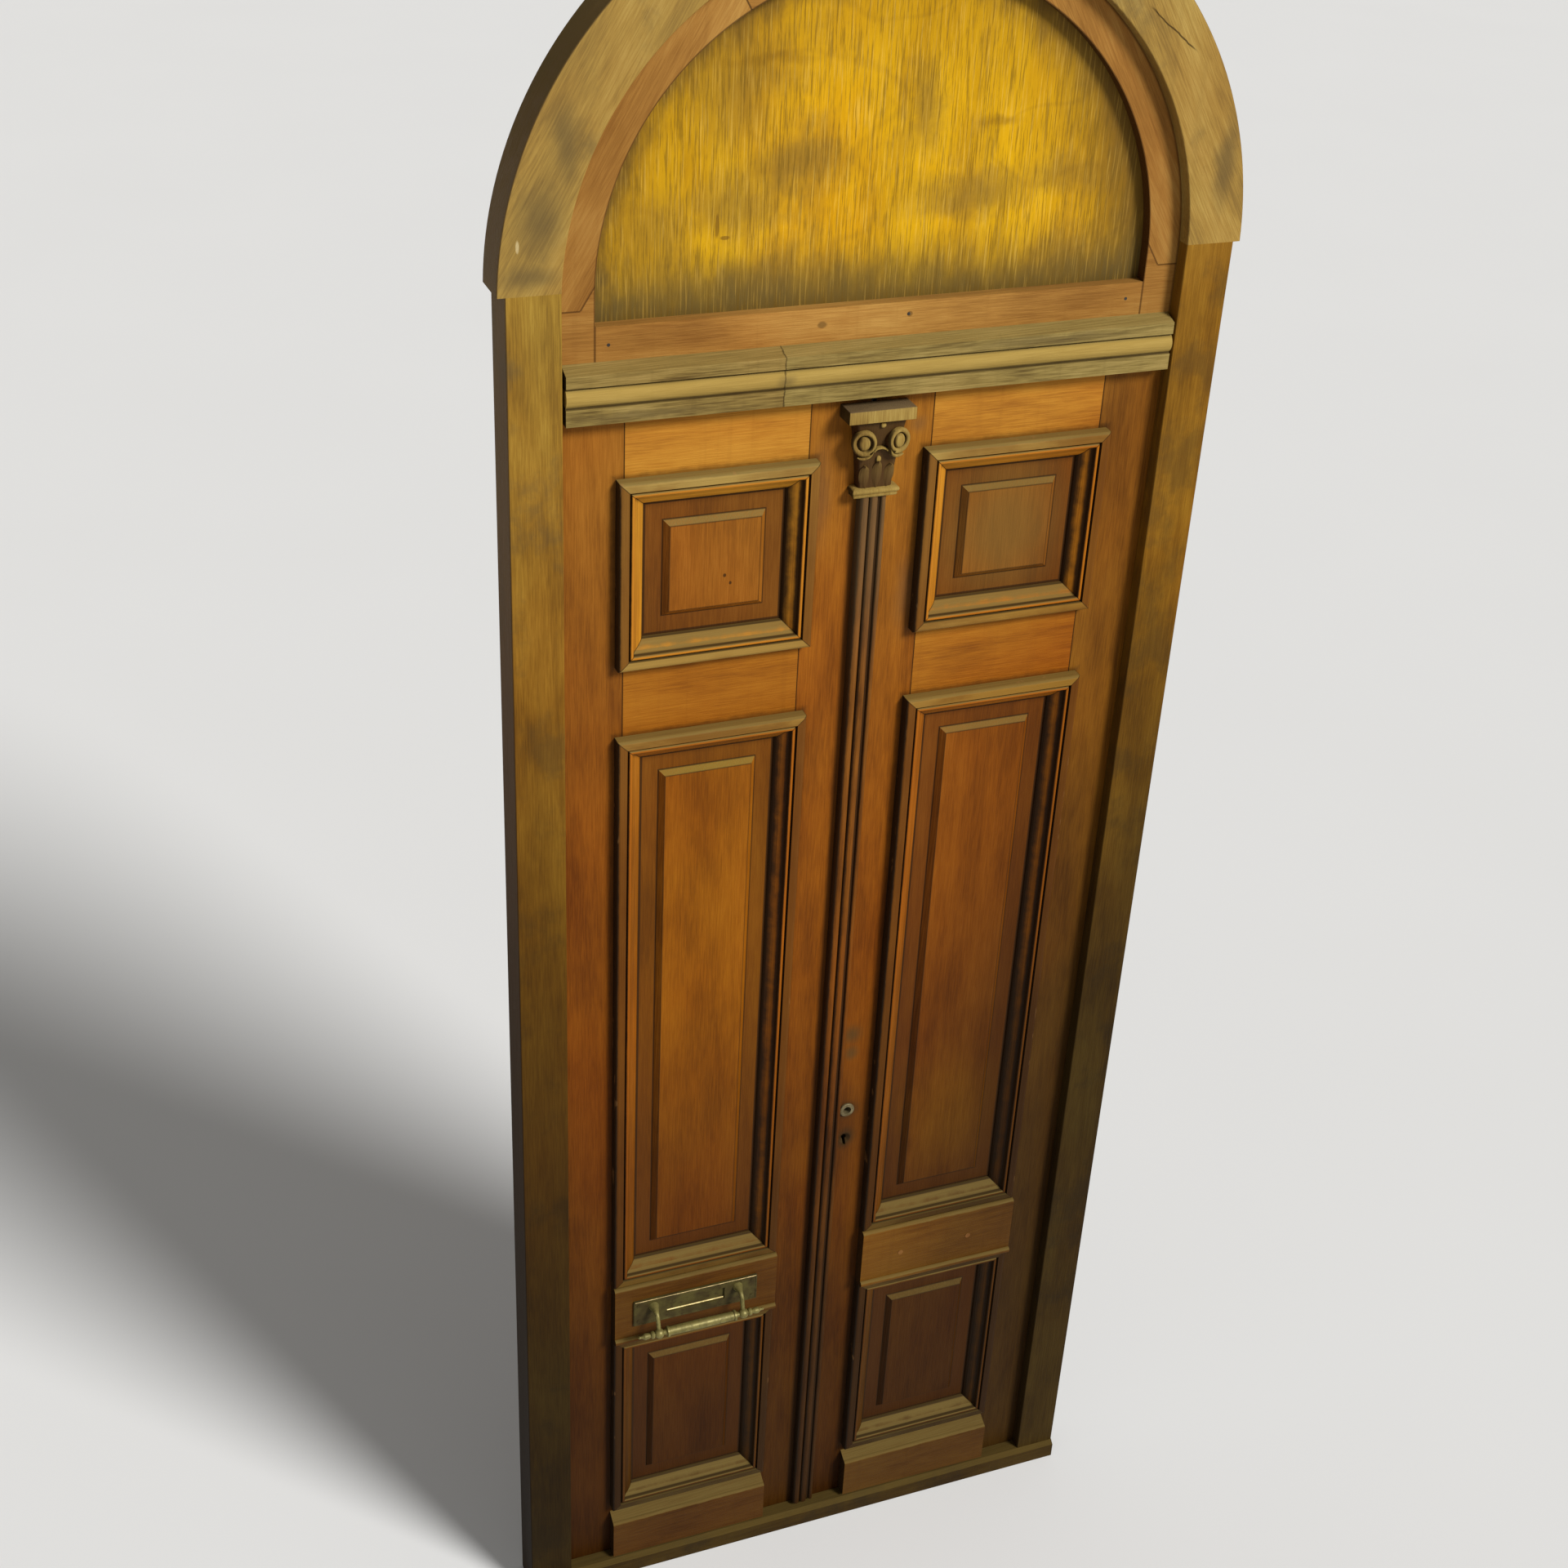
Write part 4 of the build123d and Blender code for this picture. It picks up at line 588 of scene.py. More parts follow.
def panel_finish(name, opening, seed):
    """A raised panel: fielded face, bevel and sunk margin; its back is plain."""
    node = f"left_{opening}_panel"
    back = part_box(node)[1].y

    def lines(finish, colour, grain):
        inward = finish.round_opening(opening)["Inward"]
        front = finish.step(finish.y, back - 0.003, back - 0.001, 1.0, 0.0)
        # The sunk margin is darker: painted shade in the recess, over its browner tone.
        margin = finish.times(front, finish.step(inward, 0.068, 0.070, 0.45, 0.0))
        colour = finish.mix(margin, colour, tone(60, 34, 14))
        if opening == "top":
            colour = finish.clouds(colour, [(0.27, 2.40, 0.16, 0.18)], 0.6, tone(102, 82, 38), 0.05)
            knots = [(-0.2515, 2.378, 0.0035, 0.0045), (-0.241, 2.363, 0.0030, 0.0040)]
            colour = finish.spots(colour, knots, 0.8, GRIME_AND_SHADE)
        if opening == "tall":
            # Two broad patches of the tall panels are made brighter and yellower.
            brightened = finish.mix(1.0, colour, (1.25, 1.45, 0.88, 1.0), "MULTIPLY")
            patches = [(-0.27, 1.62, 0.30, 0.75), (0.27, 1.10, 0.18, 0.20)]
            colour = finish.clouds(colour, patches, 0.9, brightened, 0.06)
        # Dark lines where moulding, margin and bevel meet: painted shade and grime in the creases.
        for edge, half, share in ((0.069, 0.0012, 0.8), (0.0792, 0.0010, 0.6), (0.0365, 0.003, 0.8)):
            line = finish.times(front, finish.line(inward, edge, half, 0.0008))
            colour = finish.laid(colour, line, share, GRIME_AND_SHADE)
        return colour

    tones = tone(160, 104, 36), tone(142, 88, 26), tone(114, 68, 20)
    # The bottom panel's ledges are lightened less: painted shadow under the apron.
    look = dict(ledge=0.55 if opening == "bottom" else 0.85, ring=0.03, heart=(0.06, 0.16), side_shade=0.3)
    return joinery(name, node, seed=seed, tones=tones, lines=lines, **look)


def dress_leaves():
    """Framing, mouldings, panels and planted boards of both leaves."""
    honey = (tone(190, 134, 48), tone(174, 116, 38), tone(142, 88, 28))
    tawny = (tone(172, 116, 36), tone(156, 100, 28), tone(126, 76, 22))
    brown = (tone(158, 102, 34), tone(138, 86, 26), tone(108, 64, 20))
    olive = (tone(160, 118, 48), tone(140, 100, 40), tone(108, 74, 30))
    amber = (tone(166, 108, 32), tone(144, 90, 26), tone(110, 66, 20))
    boards = (tone(206, 150, 60), tone(184, 126, 46), tone(146, 94, 32))
    for seed, side in enumerate(("left", "right"), 1):
        for number, rail in enumerate(("top", "frieze", "middle", "bottom")):
            node = f"{side}_{rail}_rail"
            tones = tawny if rail == "frieze" else honey
            lower = -0.3 if side == "right" and number < 2 else 0.0
            clad(node, QUARTER, tones, seed + 2.3 * number, lower, lines=beside_mouldings)
        node = f"{side}_hinge_stile"
        tones = brown if side == "left" else olive
        clad(node, tones=tones, seed=seed + 11.0, lines=beside_mouldings)
        clad(f"{side}_meeting_stile", tones=amber, seed=seed + 17.0, lines=along_meeting)
        for board in ("apron_board", "kick_board"):
            lower = 0.50 if side == "left" else 0.0
            clad(f"{side}_{board}", QUARTER, boards, seed + 23.0, lower, ledge=0.85)
    for number, opening in enumerate(OPENINGS):
        moulding = moulding_finish(f"{opening}_moulding_timber", opening, 5.0 + number)
        panel = panel_finish(f"{opening}_panel_timber", opening, 9.0 + number)
        for side in ("left", "right"):
            wear(f"{side}_{opening}_moulding", moulding)
            wear(f"{side}_{opening}_panel", panel)


def outer_sides(limit, foot=0.0):
    """The frame's outer sides are darkened with painted shade. limit is how far out its face goes, foot how
    dark it is low down, with painted shade and dirt.
    """
    def layers(finish, colour, grain):
        _, out = finish.from_springing()
        # Painted shade on the outer side faces.
        side = finish.step(out, limit - 0.0022, limit - 0.0006)
        colour = finish.laid(colour, side, 0.85, tone(104, 80, 48))
        cloud = finish.patches(finish.place, (9.0, 9.0, 7.0), 5.0, 0.65)
        colour = finish.mix(finish.step(cloud, 0.50, 0.68, 0.0, 0.5), colour, tone(96, 80, 50))
        # Darker low down: painted shade and dirt.
        if foot:
            colour = finish.mix(finish.step(finish.z, 1.5, 2.55, foot, 0.0), colour, tone(48, 34, 14))
        return colour
    return layers


def head_lines(finish, colour, grain):
    """Smudges and a pale scratch on the arch's feet, and a crack in its right length."""
    smudges = [(-0.570, 3.005, 0.050, 0.070), (-0.585, 2.925, 0.060, 0.030), (0.585, 3.03, 0.03, 0.10),
               (-0.53, 3.12, 0.03, 0.08)]
    colour = finish.clouds(colour, smudges, 0.6, tone(84, 70, 46), 0.05)
    colour = finish.spots(colour, [(-0.6035, 2.969, 0.0035, 0.012)], 0.7, tone(196, 176, 128))
    low, high = Vector((0.499, 3.210)), Vector((0.415, 3.275))
    run = high - low
    x, z = finish.minus(finish.x, low.x), finish.minus(finish.z, low.y)
    share = finish.over(finish.plus(finish.times(x, run.x), finish.times(z, run.y)), run.length_squared)
    aside = finish.minus(finish.times(x, run.y / run.length), finish.times(z, run.x / run.length))
    aside = finish.plus(aside, finish.either_side(finish.noise(finish.place, 40.0), 0.006))
    crack = finish.times(finish.band(share, 0.0, 1.0, 0.1), finish.seam(aside, 0.0006, 0.0018))
    return finish.laid(colour, crack, 0.8, GRIME_AND_SHADE)


def sash_lines(finish, colour, grain):
    """Dark lines in the joints of the fanlight frame, painted shadow and grime along the board and the sash's
    outer edge, and two knots in its rail.
    """
    up, out = finish.from_springing()
    away = finish.size(finish.x)
    above = finish.math("GREATER_THAN", finish.z, SPRINGING + 0.05)
    across = finish.minus(finish.times(away, math.tan(math.pi / 3)), up)
    crown = finish.times(above, finish.seam(across, 0.0016, 0.0036))
    shoulder = SPRINGING - 0.021
    square = finish.seam(finish.minus(finish.z, shoulder), 0.0008, 0.0018)
    square = finish.times(square, finish.step(away, 0.499, 0.501))
    slope = 0.039 / 0.024
    slant = finish.times(finish.minus(away, SASH_INNER - 0.001), slope)
    slant = finish.plus(slant, finish.minus(finish.z, SPRINGING + 0.018))
    reach = finish.band(finish.z, shoulder, SPRINGING + 0.02, 0.001)
    slant = finish.times(finish.seam(slant, 0.0014, 0.0034), reach)
    joints = finish.most(finish.most(crown, square), slant)
    colour = finish.laid(colour, joints, 0.75, GRIME_AND_SHADE)
    # Painted shadow and grime along the board and beside the head.
    inner = finish.seam(finish.minus(out, SASH_INNER), 0.0008, 0.0026, 0.75)
    outer = finish.step(finish.minus(SASH_OUTER, out), 0.0010, 0.0050, 0.7, 0.0)
    colour = finish.mix(finish.most(inner, outer), colour, GRIME_AND_SHADE)
    colour = finish.mix(finish.step(away, 0.12, 0.50, 0.0, 0.30), colour, tone(110, 66, 22))
    return finish.spots(colour, [(0.052, 2.806, 0.006, 0.006), (-0.10, 2.800, 0.010, 0.007)], 0.5, GRIME_AND_SHADE)


def strip_lines(finish, colour, grain):
    """The strip's groove and a line in its middle are dark with painted shade and grime, and its head is
    grey-brown under the carving.
    """
    colour = finish.mix(finish.step(finish.z, 2.10, 2.45, 0.0, 0.55), colour, tone(92, 76, 52))
    groove = finish.band(finish.x, STRIP_X + 0.0092, STRIP_X + 0.0140, 0.0010)
    middle = finish.band(finish.x, STRIP_X - 0.0086, STRIP_X - 0.0064, 0.0010)
    # Painted shade and grime in the groove and between the reeds.
    colour = finish.laid(colour, groove, 0.85, GRIME_AND_SHADE)
    return finish.laid(colour, middle, 0.6, GRIME_AND_SHADE)


def cornice_lines(finish, colour, grain):
    """Quirks between the fascias and the torus, dark with painted shade and grime, and a lighter straw band
    on the torus face.
    """
    straw_band = finish.band(finish.z, CORNICE_FOOT + 0.032, CORNICE_FOOT + 0.058, 0.003)
    colour = finish.laid(colour, straw_band, 0.6, tone(178, 146, 72))
    # Painted shade and grime in the quirks.
    for quirk in (CORNICE_FOOT + 0.0295, CORNICE_FOOT + 0.0615):
        colour = finish.laid(colour, finish.line(finish.z, quirk, 0.0016, 0.0008), 0.8, GRIME_AND_SHADE)
    ragged = finish.either_side(finish.noise(finish.place, 90.0, 3.0), 0.008)
    joint = finish.plus(finish.plus(finish.x, 0.170), ragged)
    colour = finish.mix(finish.seam(joint, 0.0006, 0.0020, 0.55), colour, GRIME_AND_SHADE)
    stains = [(-0.168, 2.722, 0.022, 0.016), (0.30, 2.752, 0.20, 0.012), (-0.40, 2.690, 0.14, 0.012)]
    return finish.clouds(colour, stains, 0.5, tone(84, 70, 44), 0.03)


def dress_frame():
    """Jambs, arched head, cornice, fanlight and the strip between the leaves."""
    jamb = (tone(168, 136, 56), tone(144, 112, 42), tone(110, 82, 32))
    arch = (tone(176, 148, 80), tone(156, 126, 62), tone(124, 98, 50))
    straw = (tone(158, 136, 80), tone(134, 114, 62), tone(92, 74, 38))
    red = (tone(182, 138, 70), tone(162, 116, 54), tone(130, 88, 38))
    strip = (tone(146, 98, 40), tone(122, 80, 32), tone(84, 52, 22))
    aged = dict(ledge=0.4, rough=0.62, figure=0.2, fibre=0.30, side_shade=0.3)
    for seed, node, turn, lower, foot in (
        (31.0, "jamb_left", 0, 0.25, 0.55), (32.0, "jamb_right", 0, 0.15, 0.15),
        (36.0, "threshold", QUARTER, 0.0, 0.0), (37.0, "transom_bar", QUARTER, 0.0, 0.0),
    ):
        clad(node, turn, jamb, seed, lower, layers=outer_sides(JAMB_OUT, foot), **aged)
    lengths = (("left", -SIXTH), ("crown", QUARTER), ("right", SIXTH))
    for seed, (length, turn) in enumerate(lengths, 33):
        sides = outer_sides(HEAD_OUT)
        clad(f"arch_head_{length}", turn, arch, seed, -0.8, layers=sides, lines=head_lines, **aged)
    worn = dict(ring=0.006, ledge=0.5, rough=0.66, figure=0.2, fibre=0.45, lines=cornice_lines)
    for seed, node in ((38.0, "cornice_left"), (39.0, "cornice_right")):
        clad(node, QUARTER, straw, seed, -0.5, **worn)
    sash = [("rail", QUARTER), *((f"arch_{length}", turn) for length, turn in lengths), ("beads", QUARTER)]
    for seed, (name, turn) in enumerate(sash, 41):
        clad(f"fanlight_{name}", turn, red, seed, -0.5, ledge=0.3, lines=sash_lines)
    wear("fanlight_panel", make_board())
    clad("cover_strip", seed=51.0, lines=strip_lines, tones=strip)


# Metal
def metal_finish(name, bright, dull, grime, rough, metal, scale=60.0, top_light=0.5, specular=0.5):
    """Old metal: patches of patina, specks of grime, and painted top light on what faces up."""
    finish = Finish(name)
    patina = finish.step(finish.noise(finish.place, scale, 5.0, 0.6), 0.35, 0.65)
    colour = finish.mix(patina, bright, dull)
    specks = finish.step(finish.noise(finish.place, scale * 4.0, 3.0), 0.58, 0.68)
    colour = finish.laid(colour, specks, 0.35, grime)
    up = finish.parts(finish.node("ShaderNodeNewGeometry").outputs["Normal"])[Z]
    # Painted top light: faces that turn up take the bright colour.
    colour = finish.mix(finish.step(up, 0.35, 0.85, 0.0, top_light), colour, bright)
    rough = finish.plus(rough, finish.times(patina, 0.2))
    return finish.close(colour, rough, patina, lift=0.0002, metal=metal, specular=specular)


BRONZE = metal_finish(
    "old_bronze", tone(78, 70, 32), tone(56, 46, 20), tone(44, 26, 12), 0.5, 0.15, 22.0, 0.15, 0.15)
GRIP = metal_finish(
    "handled_bronze", tone(122, 112, 62), tone(92, 84, 42), tone(56, 46, 26), 0.38, 0.35, 40.0, 0.25, 0.3)
# Painted highlight: a bright bronze for the flap's rolled lip.
HIGHLIGHT_BRONZE = metal_finish("rubbed_bronze", tone(190, 172, 118), tone(150, 132, 82), tone(84, 70, 40), 0.34, 0.7)
BRASS = metal_finish(
    "collar_brass", tone(116, 104, 74), tone(84, 72, 44), tone(46, 36, 20), 0.44, 0.35, specular=0.25)
STEEL = metal_finish(
    "lock_steel", tone(112, 106, 96), tone(88, 80, 70), tone(78, 50, 32), 0.46, 0.5, 30.0, 0.2, 0.3)
IRON = metal_finish("hinge_iron", tone(70, 66, 60), tone(44, 40, 36), tone(70, 42, 26), 0.55, 0.6)
WORN = {
    BRONZE: ("letter_plate", "letter_flap"),
    GRIP: ("pull_stems", "pull_bar"),
    BRASS: ("key_collar",),
    STEEL: ("lock_case", "deadbolt", "top_bolt", "bottom_bolt", "strike_plate", "flush_bolt_plates"),
    IRON: ("left_hinge_halves", "right_hinge_halves", "jamb_hinge_halves"),
}


def dress_metal():
    for metal, worn_by in WORN.items():
        for node in worn_by:
            wear(node, metal)


# Carved and fitted pieces
class Carving:
    """Gathers closed shells of quads into one mesh. Relief goes from 0 in a hollow to 1 on a crest."""

    def __init__(self):
        self.points, self.faces, self.relief = [], [], []

    def grid(self, rows, relief=0.5):
        """Quads between closed rows of as many points."""
        start, width = len(self.points), len(rows[0])
        self.points += [tuple(point) for row in rows for point in row]
        for r in range(len(rows)):
            self.relief += [relief[r] if isinstance(relief, (list, tuple)) else relief] * width
        for r in range(len(rows) - 1):
            for c in range(width):
                here, after = start + r * width + c, start + r * width + (c + 1) % width
                self.faces.append((here, after, after + width, here + width))
        return start

    def shell(self, rows, relief=0.5):
        """A tube of closed rows with both ends filled."""
        start, width = self.grid(rows, relief), len(rows[0])
        self.faces.append(tuple(range(start, start + width)))
        last = start + (len(rows) - 1) * width
        self.faces.append(tuple(range(last, last + width)))

    def build(self, name, material, body, slot, smooth=50.0):
        mesh = bpy.data.meshes.new(name)
        mesh.from_pydata(self.points, [], self.faces)
        mesh.attributes.new("relief", "FLOAT", "POINT").data.foreach_set("value", self.relief)
        made = bmesh.new()
        made.from_mesh(mesh)
        bmesh.ops.remove_doubles(made, verts=made.verts, dist=1e-6)
        bmesh.ops.recalc_face_normals(made, faces=made.faces)
        made.to_mesh(mesh)
        made.free()
        return finished(name, mesh, material, body, smooth)


def finished(name, mesh, material, body, smooth):
    """Puts a plain mesh in the scene as a piece that rides on a body."""
    mesh.materials.clear()
    mesh.materials.append(material)
    mesh.shade_smooth()
    mesh.set_sharp_from_angle(angle=math.radians(smooth))
    piece = bpy.data.objects.new(name, mesh)
    bpy.context.scene.collection.objects.link(piece)
    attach(piece, body)
    return piece


def three_sided(z, middle, half, face, back_left, back_right, corner):
    """A level of a block planted on the door: its two ends and its rounded front corners."""
    loop = [(middle - half, back_left, z)]
    turns = [math.radians(a) for a in (0, 30, 60, 90)]
    for side in (-1, 1):
        centre = middle + side * (half - corner)
        arc = [(centre + side * corner * math.cos(t), face + corner - corner * math.sin(t), z) for t in turns]
        loop += arc if side < 0 else arc[::-1]
    return loop + [(middle + half, back_right, z)]


def on_volute(side):
    """Places points of one volute's own plane: out from the door's middle, up, and out of its face."""
    across = Vector((math.cos(VOLUTE_TURN), side * math.sin(VOLUTE_TURN), 0.0)) * side
    outward = Vector((side * math.sin(VOLUTE_TURN), -math.cos(VOLUTE_TURN), 0.0))
    centre = Vector((STRIP_X + side * VOLUTE_X, VOLUTE_Y, VOLUTE_Z))
    return lambda u, w, n: tuple(centre + across * u + Vector((0.0, 0.0, w)) + outward * n)


RIB = ((-0.5, 0.0), (-0.5, 0.5), (-0.40, 0.80), (-0.20, 0.96), (0.0, 1.0), (0.20, 0.96), (0.40, 0.80),
       (0.5, 0.5), (0.5, 0.0))
EYE = ((0.0, 1.0), (0.30, 1.0), (0.55, 0.97), (0.78, 0.86), (0.93, 0.66), (0.99, 0.38), (1.0, 0.14))
EYE_RELIEF = [0.2, 0.4, 0.6, 0.75, 0.8, 0.85, 0.85]
BEAD = ((-1.0, 1.0), (0.3, 1.0), (0.7, 0.84), (0.93, 0.55), (1.0, 0.2))
BEAD_RELIEF = [0.2, 0.5, 1.0, 1.0, 1.0]
NECK = ((0.0, -0.0050), (0.0, -0.0010), (0.0015, 0.0), (0.0040, 0.0004), (0.0048, -0.0008), (0.0062, 0.0),
        (0.0085, 0.0024), (0.0110, 0.0030), (0.0135, 0.0024), (0.0155, 0.0), (0.0165, -0.0025),
        (0.0170, -0.0050))
ABACUS = ((0.0, -0.0110), (0.0012, -0.0085), (0.0026, -0.0036), (0.0030, -0.0010), (0.0038, 0.0),
          (0.0236, 0.0), (0.0250, -0.0012))
RIM = ((0.0, 0.0010), (0.0004, -0.0006), (0.0012, -0.0012), (0.0022, -0.0008), (0.0030, 0.0010))


def ribbon(carving, path, place, low, high, relief=0.9):
    """A rounded rib along a path of (u, w, width), from low up to a crest at high above the plane."""
    rows = []
    for n, (u, w, width) in enumerate(path):
        before, after = path[max(n - 1, 0)], path[min(n + 1, len(path) - 1)]
        run = Vector((after[0] - before[0], after[1] - before[1])).normalized()
        row = []
        for share, rise in RIB:
            row.append(place(u - run.y * share * width, w + run.x * share * width, low + (high - low) * rise))
        rows.append(row)
    carving.shell(rows, relief)


def oval(place, half_u, half_w, n, sides=30, at=(0.0, 0.0)):
    turns = [math.tau * k / sides for k in range(sides)]
    return [place(at[0] + half_u * math.cos(a), at[1] + half_w * math.sin(a), n) for a in turns]


def volute(carving, side):
    """A scroll: a thick ring from a curled tip below, over the top, and in round a domed eye."""
    place = on_volute(side)
    ground = [oval(place, 0.0205, 0.0205, n) for n in (-0.0180, -0.0066)]
    carving.shell(ground, 0.0)
    path, steps = [], 56
    for n in range(steps + 1):
        share = n / steps
        turn = math.radians(-118 + 395 * share)
        reach = 0.0182 - 0.0018 * share
        wide = 0.0100 * (1.0 - 0.36 * share)
        path.append((reach * math.cos(turn), reach * 1.03 * math.sin(turn), wide))
    ribbon(carving, path, place, -0.0090, 0.0, 0.72)
    eye_at = (0.0006, -0.0006)
    eye = [oval(place, 0.0108 * out, 0.0128 * out, -0.009 + 0.0095 * rise, 26, eye_at) for rise, out in EYE]
    carving.shell(eye, EYE_RELIEF)
    hook, steps = [], 14
    for n in range(steps + 1):
        share = n / steps
        turn = math.radians(-62 - 104 * share)
        wide = 0.0072 * math.sin(math.pi * (0.12 + 0.8 * share))
        hook.append((0.0020 + 0.0185 * math.cos(turn), -0.0090 + 0.0190 * math.sin(turn), wide))
    ribbon(carving, hook, place, -0.0130, -0.0030, 0.7)


def bell_face(z):
    """How far forward the capital's bell stands at a height."""
    share = min(max((z - NECK_TOP) / (ABACUS_LOW - NECK_TOP), 0.0), 1.0)
    return -0.0335 - 0.0125 * share ** 1.5


def lobe(carving, x0, z0, width, height, stand, lean=0.0):
    """A plain carved leaf on the bell whose tip rolls outwards."""
    rows, values, steps, curl = [], [], 16, 0.003
    for n in range(steps + 1):
        share = n / steps
        z = z0 + height * share
        lift = stand * math.sin(math.pi * min(share + 0.12, 1.0) * 0.5) + curl * max(share - 0.7, 0.0) / 0.3
        half = width / 2 * (0.55 + 0.45 * math.sin(math.pi * share)) * (1.0 - max(share - 0.8, 0.0) ** 2 * 18)
        front = []
        for k in range(9):
            u = k / 4 - 1
            rib = 0.0008 * math.exp(-((u / 0.25) ** 2)) - 0.0026 * u * u
            front.append((x0 + lean * share + u * half, bell_face(z) - lift - rib, z))
        back = [(x, bell_face(z) + 0.004, z) for x, _, _ in reversed(front)]
        rows.append(front + back)
        values.append(0.16 + 0.22 * share)
    carving.shell(rows, values)


def carve_capital(material):
    """Bell, neck ring, abacus, volutes, leaves, and the ribbon and beads between the volutes."""
    backs = (-0.0142, -0.0154)
    carving = Carving()
    bell, steps = [], 12
    for n in range(steps + 1):
        z = NECK_TOP - 0.0005 + (ABACUS_LOW - NECK_TOP + 0.001) * n / steps
        half = 0.0305 + 0.0140 * (n / steps) ** 1.4
        bell.append(three_sided(z, STRIP_X, half, bell_face(z), *backs, 0.006))
    carving.shell(bell, 0.1)
    for section, foot, middle, half, face, corner, relief in (
        (NECK, NECK_LOW, STRIP_X, 0.0398, -0.0368, 0.0016, 0.95),
        (ABACUS, ABACUS_LOW, 0.0, 0.0598, -0.0560, 0.0010, 0.9),
    ):
        rows = [three_sided(foot + up, middle, half + out, face - out, *backs, corner) for up, out in section]
        carving.shell(rows, relief)
    leaf_foot = NECK_TOP - 0.001
    for side in (-1, 1):
        volute(carving, side)
        lobe(carving, STRIP_X + side * 0.0195, leaf_foot, 0.0200, 0.0430, 0.0022, side * 0.004)
    lobe(carving, STRIP_X, leaf_foot, 0.0190, 0.0500, 0.0030)

    def flat(x0, z0, y0):
        return lambda u, w, n: (x0 + u, y0 - n, z0 + w)

    turns = [math.radians(165 - 15 * k) for k in range(11)]
    bridge = [(0.0125 * math.cos(a), 0.0075 * math.sin(a), 0.0042) for a in turns]
    ribbon(carving, bridge, flat(STRIP_X, 2.5835, -0.0440), -0.004, 0.0045)
    for x, z, half_u, half_w, stand in (
        (0.0, 2.5690, 0.0050, 0.0060, 0.0040), (0.001, 2.6315, 0.0055, 0.0046, 0.0045),
    ):
        place = flat(STRIP_X + x, z, bell_face(z))
        bead = [oval(place, half_u * out, half_w * out, stand * rise, 18) for rise, out in BEAD]
        carving.shell(bead, BEAD_RELIEF)
    piece = carving.build("carved_capital", material, "left_leaf", "carved_timber", 42.0)
    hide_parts("capital")


def make_capital():
    """The carving in weathered timber, with painted shade and grime in its hollows."""
    def worn(finish, colour, grain):
        relief = finish.node("ShaderNodeAttribute", attribute_name="relief").outputs["Fac"]
        # Painted shade and grime in the hollows, by the carving's relief.
        colour = finish.mix(finish.step(relief, 0.1, 0.9, 0.9, 0.0), colour, tone(62, 38, 20))
        top = finish.step(finish.z, ABACUS_TOP - 0.0012, ABACUS_TOP - 0.0002)
        return finish.laid(colour, top, 0.8, tone(84, 68, 52))

    tones = tone(166, 142, 78), tone(146, 120, 60), tone(112, 84, 40)
    carve_capital(joinery("capital_timber", "capital", seed=61.0, tones=tones, ledge=0.35, lines=worn))


def head_tree(name, slotted):
    """Geometry nodes that put a turned head on every point, facing along Facing."""
    tree = bpy.data.node_groups.new(name, "GeometryNodeTree")
    tree.interface.new_socket("Geometry", in_out="INPUT", socket_type="NodeSocketGeometry")
    for label, kind, value in (
        ("Radius", VALUE, 0.004), ("Rise", VALUE, 0.001), ("Facing", VECTOR, (0.0, -1.0, 0.0)),
        ("Seed", "NodeSocketInt", 1), ("Finish", "NodeSocketMaterial", None),
    ):
        socket = tree.interface.new_socket(label, in_out="INPUT", socket_type=kind)
        if value is not None:
            socket.default_value = value
    tree.interface.new_socket("Geometry", in_out="OUTPUT", socket_type="NodeSocketGeometry")
    net = Net(tree)
    entry = net.node("NodeGroupInput").outputs
    radius, rise = entry["Radius"], entry["Rise"]
    disc = {"Vertices": 20, "Radius": radius, "Depth": rise}
    head = net.node("GeometryNodeMeshCylinder", disc).outputs["Mesh"]
    if slotted:
        size = net.join(net.times(radius, 2.4), net.times(radius, 0.22), net.times(rise, 0.9))
        slot = net.node("GeometryNodeMeshCube", {"Size": size}).outputs["Mesh"]
        to_top = net.join(0.0, 0.0, net.times(rise, 0.5))
        raised = net.node("GeometryNodeTransform", {"Geometry": slot, "Translation": to_top}).outputs[0]
        cut = net.node("GeometryNodeMeshBoolean", {0: head, 1: raised}, operation="DIFFERENCE")
        head = cut.outputs["Mesh"]
    aim = net.node("FunctionNodeAlignRotationToVector", {"Vector": entry["Facing"]}, axis="Z")
    spin = net.node("FunctionNodeRandomValue", {"Seed": entry["Seed"]}, data_type="FLOAT")
    net.put([s for s in spin.inputs if s.enabled and s.name == "Max"][0], math.tau)
    angle = [s for s in spin.outputs if s.enabled][0]
    twist = net.node("FunctionNodeAxisAngleToRotation", {"Axis": (0.0, 0.0, 1.0), "Angle": angle})
    both = {"Rotation": aim.outputs[0], "Rotate By": twist.outputs[0]}
    turned = net.node("FunctionNodeRotateRotation", both, rotation_space="LOCAL").outputs[0]
    points = net.node("GeometryNodeMeshToPoints", {"Mesh": entry["Geometry"]}).outputs[0]
    put = net.node("GeometryNodeInstanceOnPoints", {"Points": points, "Instance": head, "Rotation": turned})
    whole = net.node("GeometryNodeRealizeInstances", {"Geometry": put.outputs[0]})
    named = net.node("GeometryNodeSetMaterial", {"Geometry": whole.outputs[0], "Material": entry["Finish"]})
    net.put(net.node("NodeGroupOutput").inputs["Geometry"], named.outputs[0])
    return tree


SCREWS, PEGS = head_tree("screw_heads", True), head_tree("peg_heads", False)


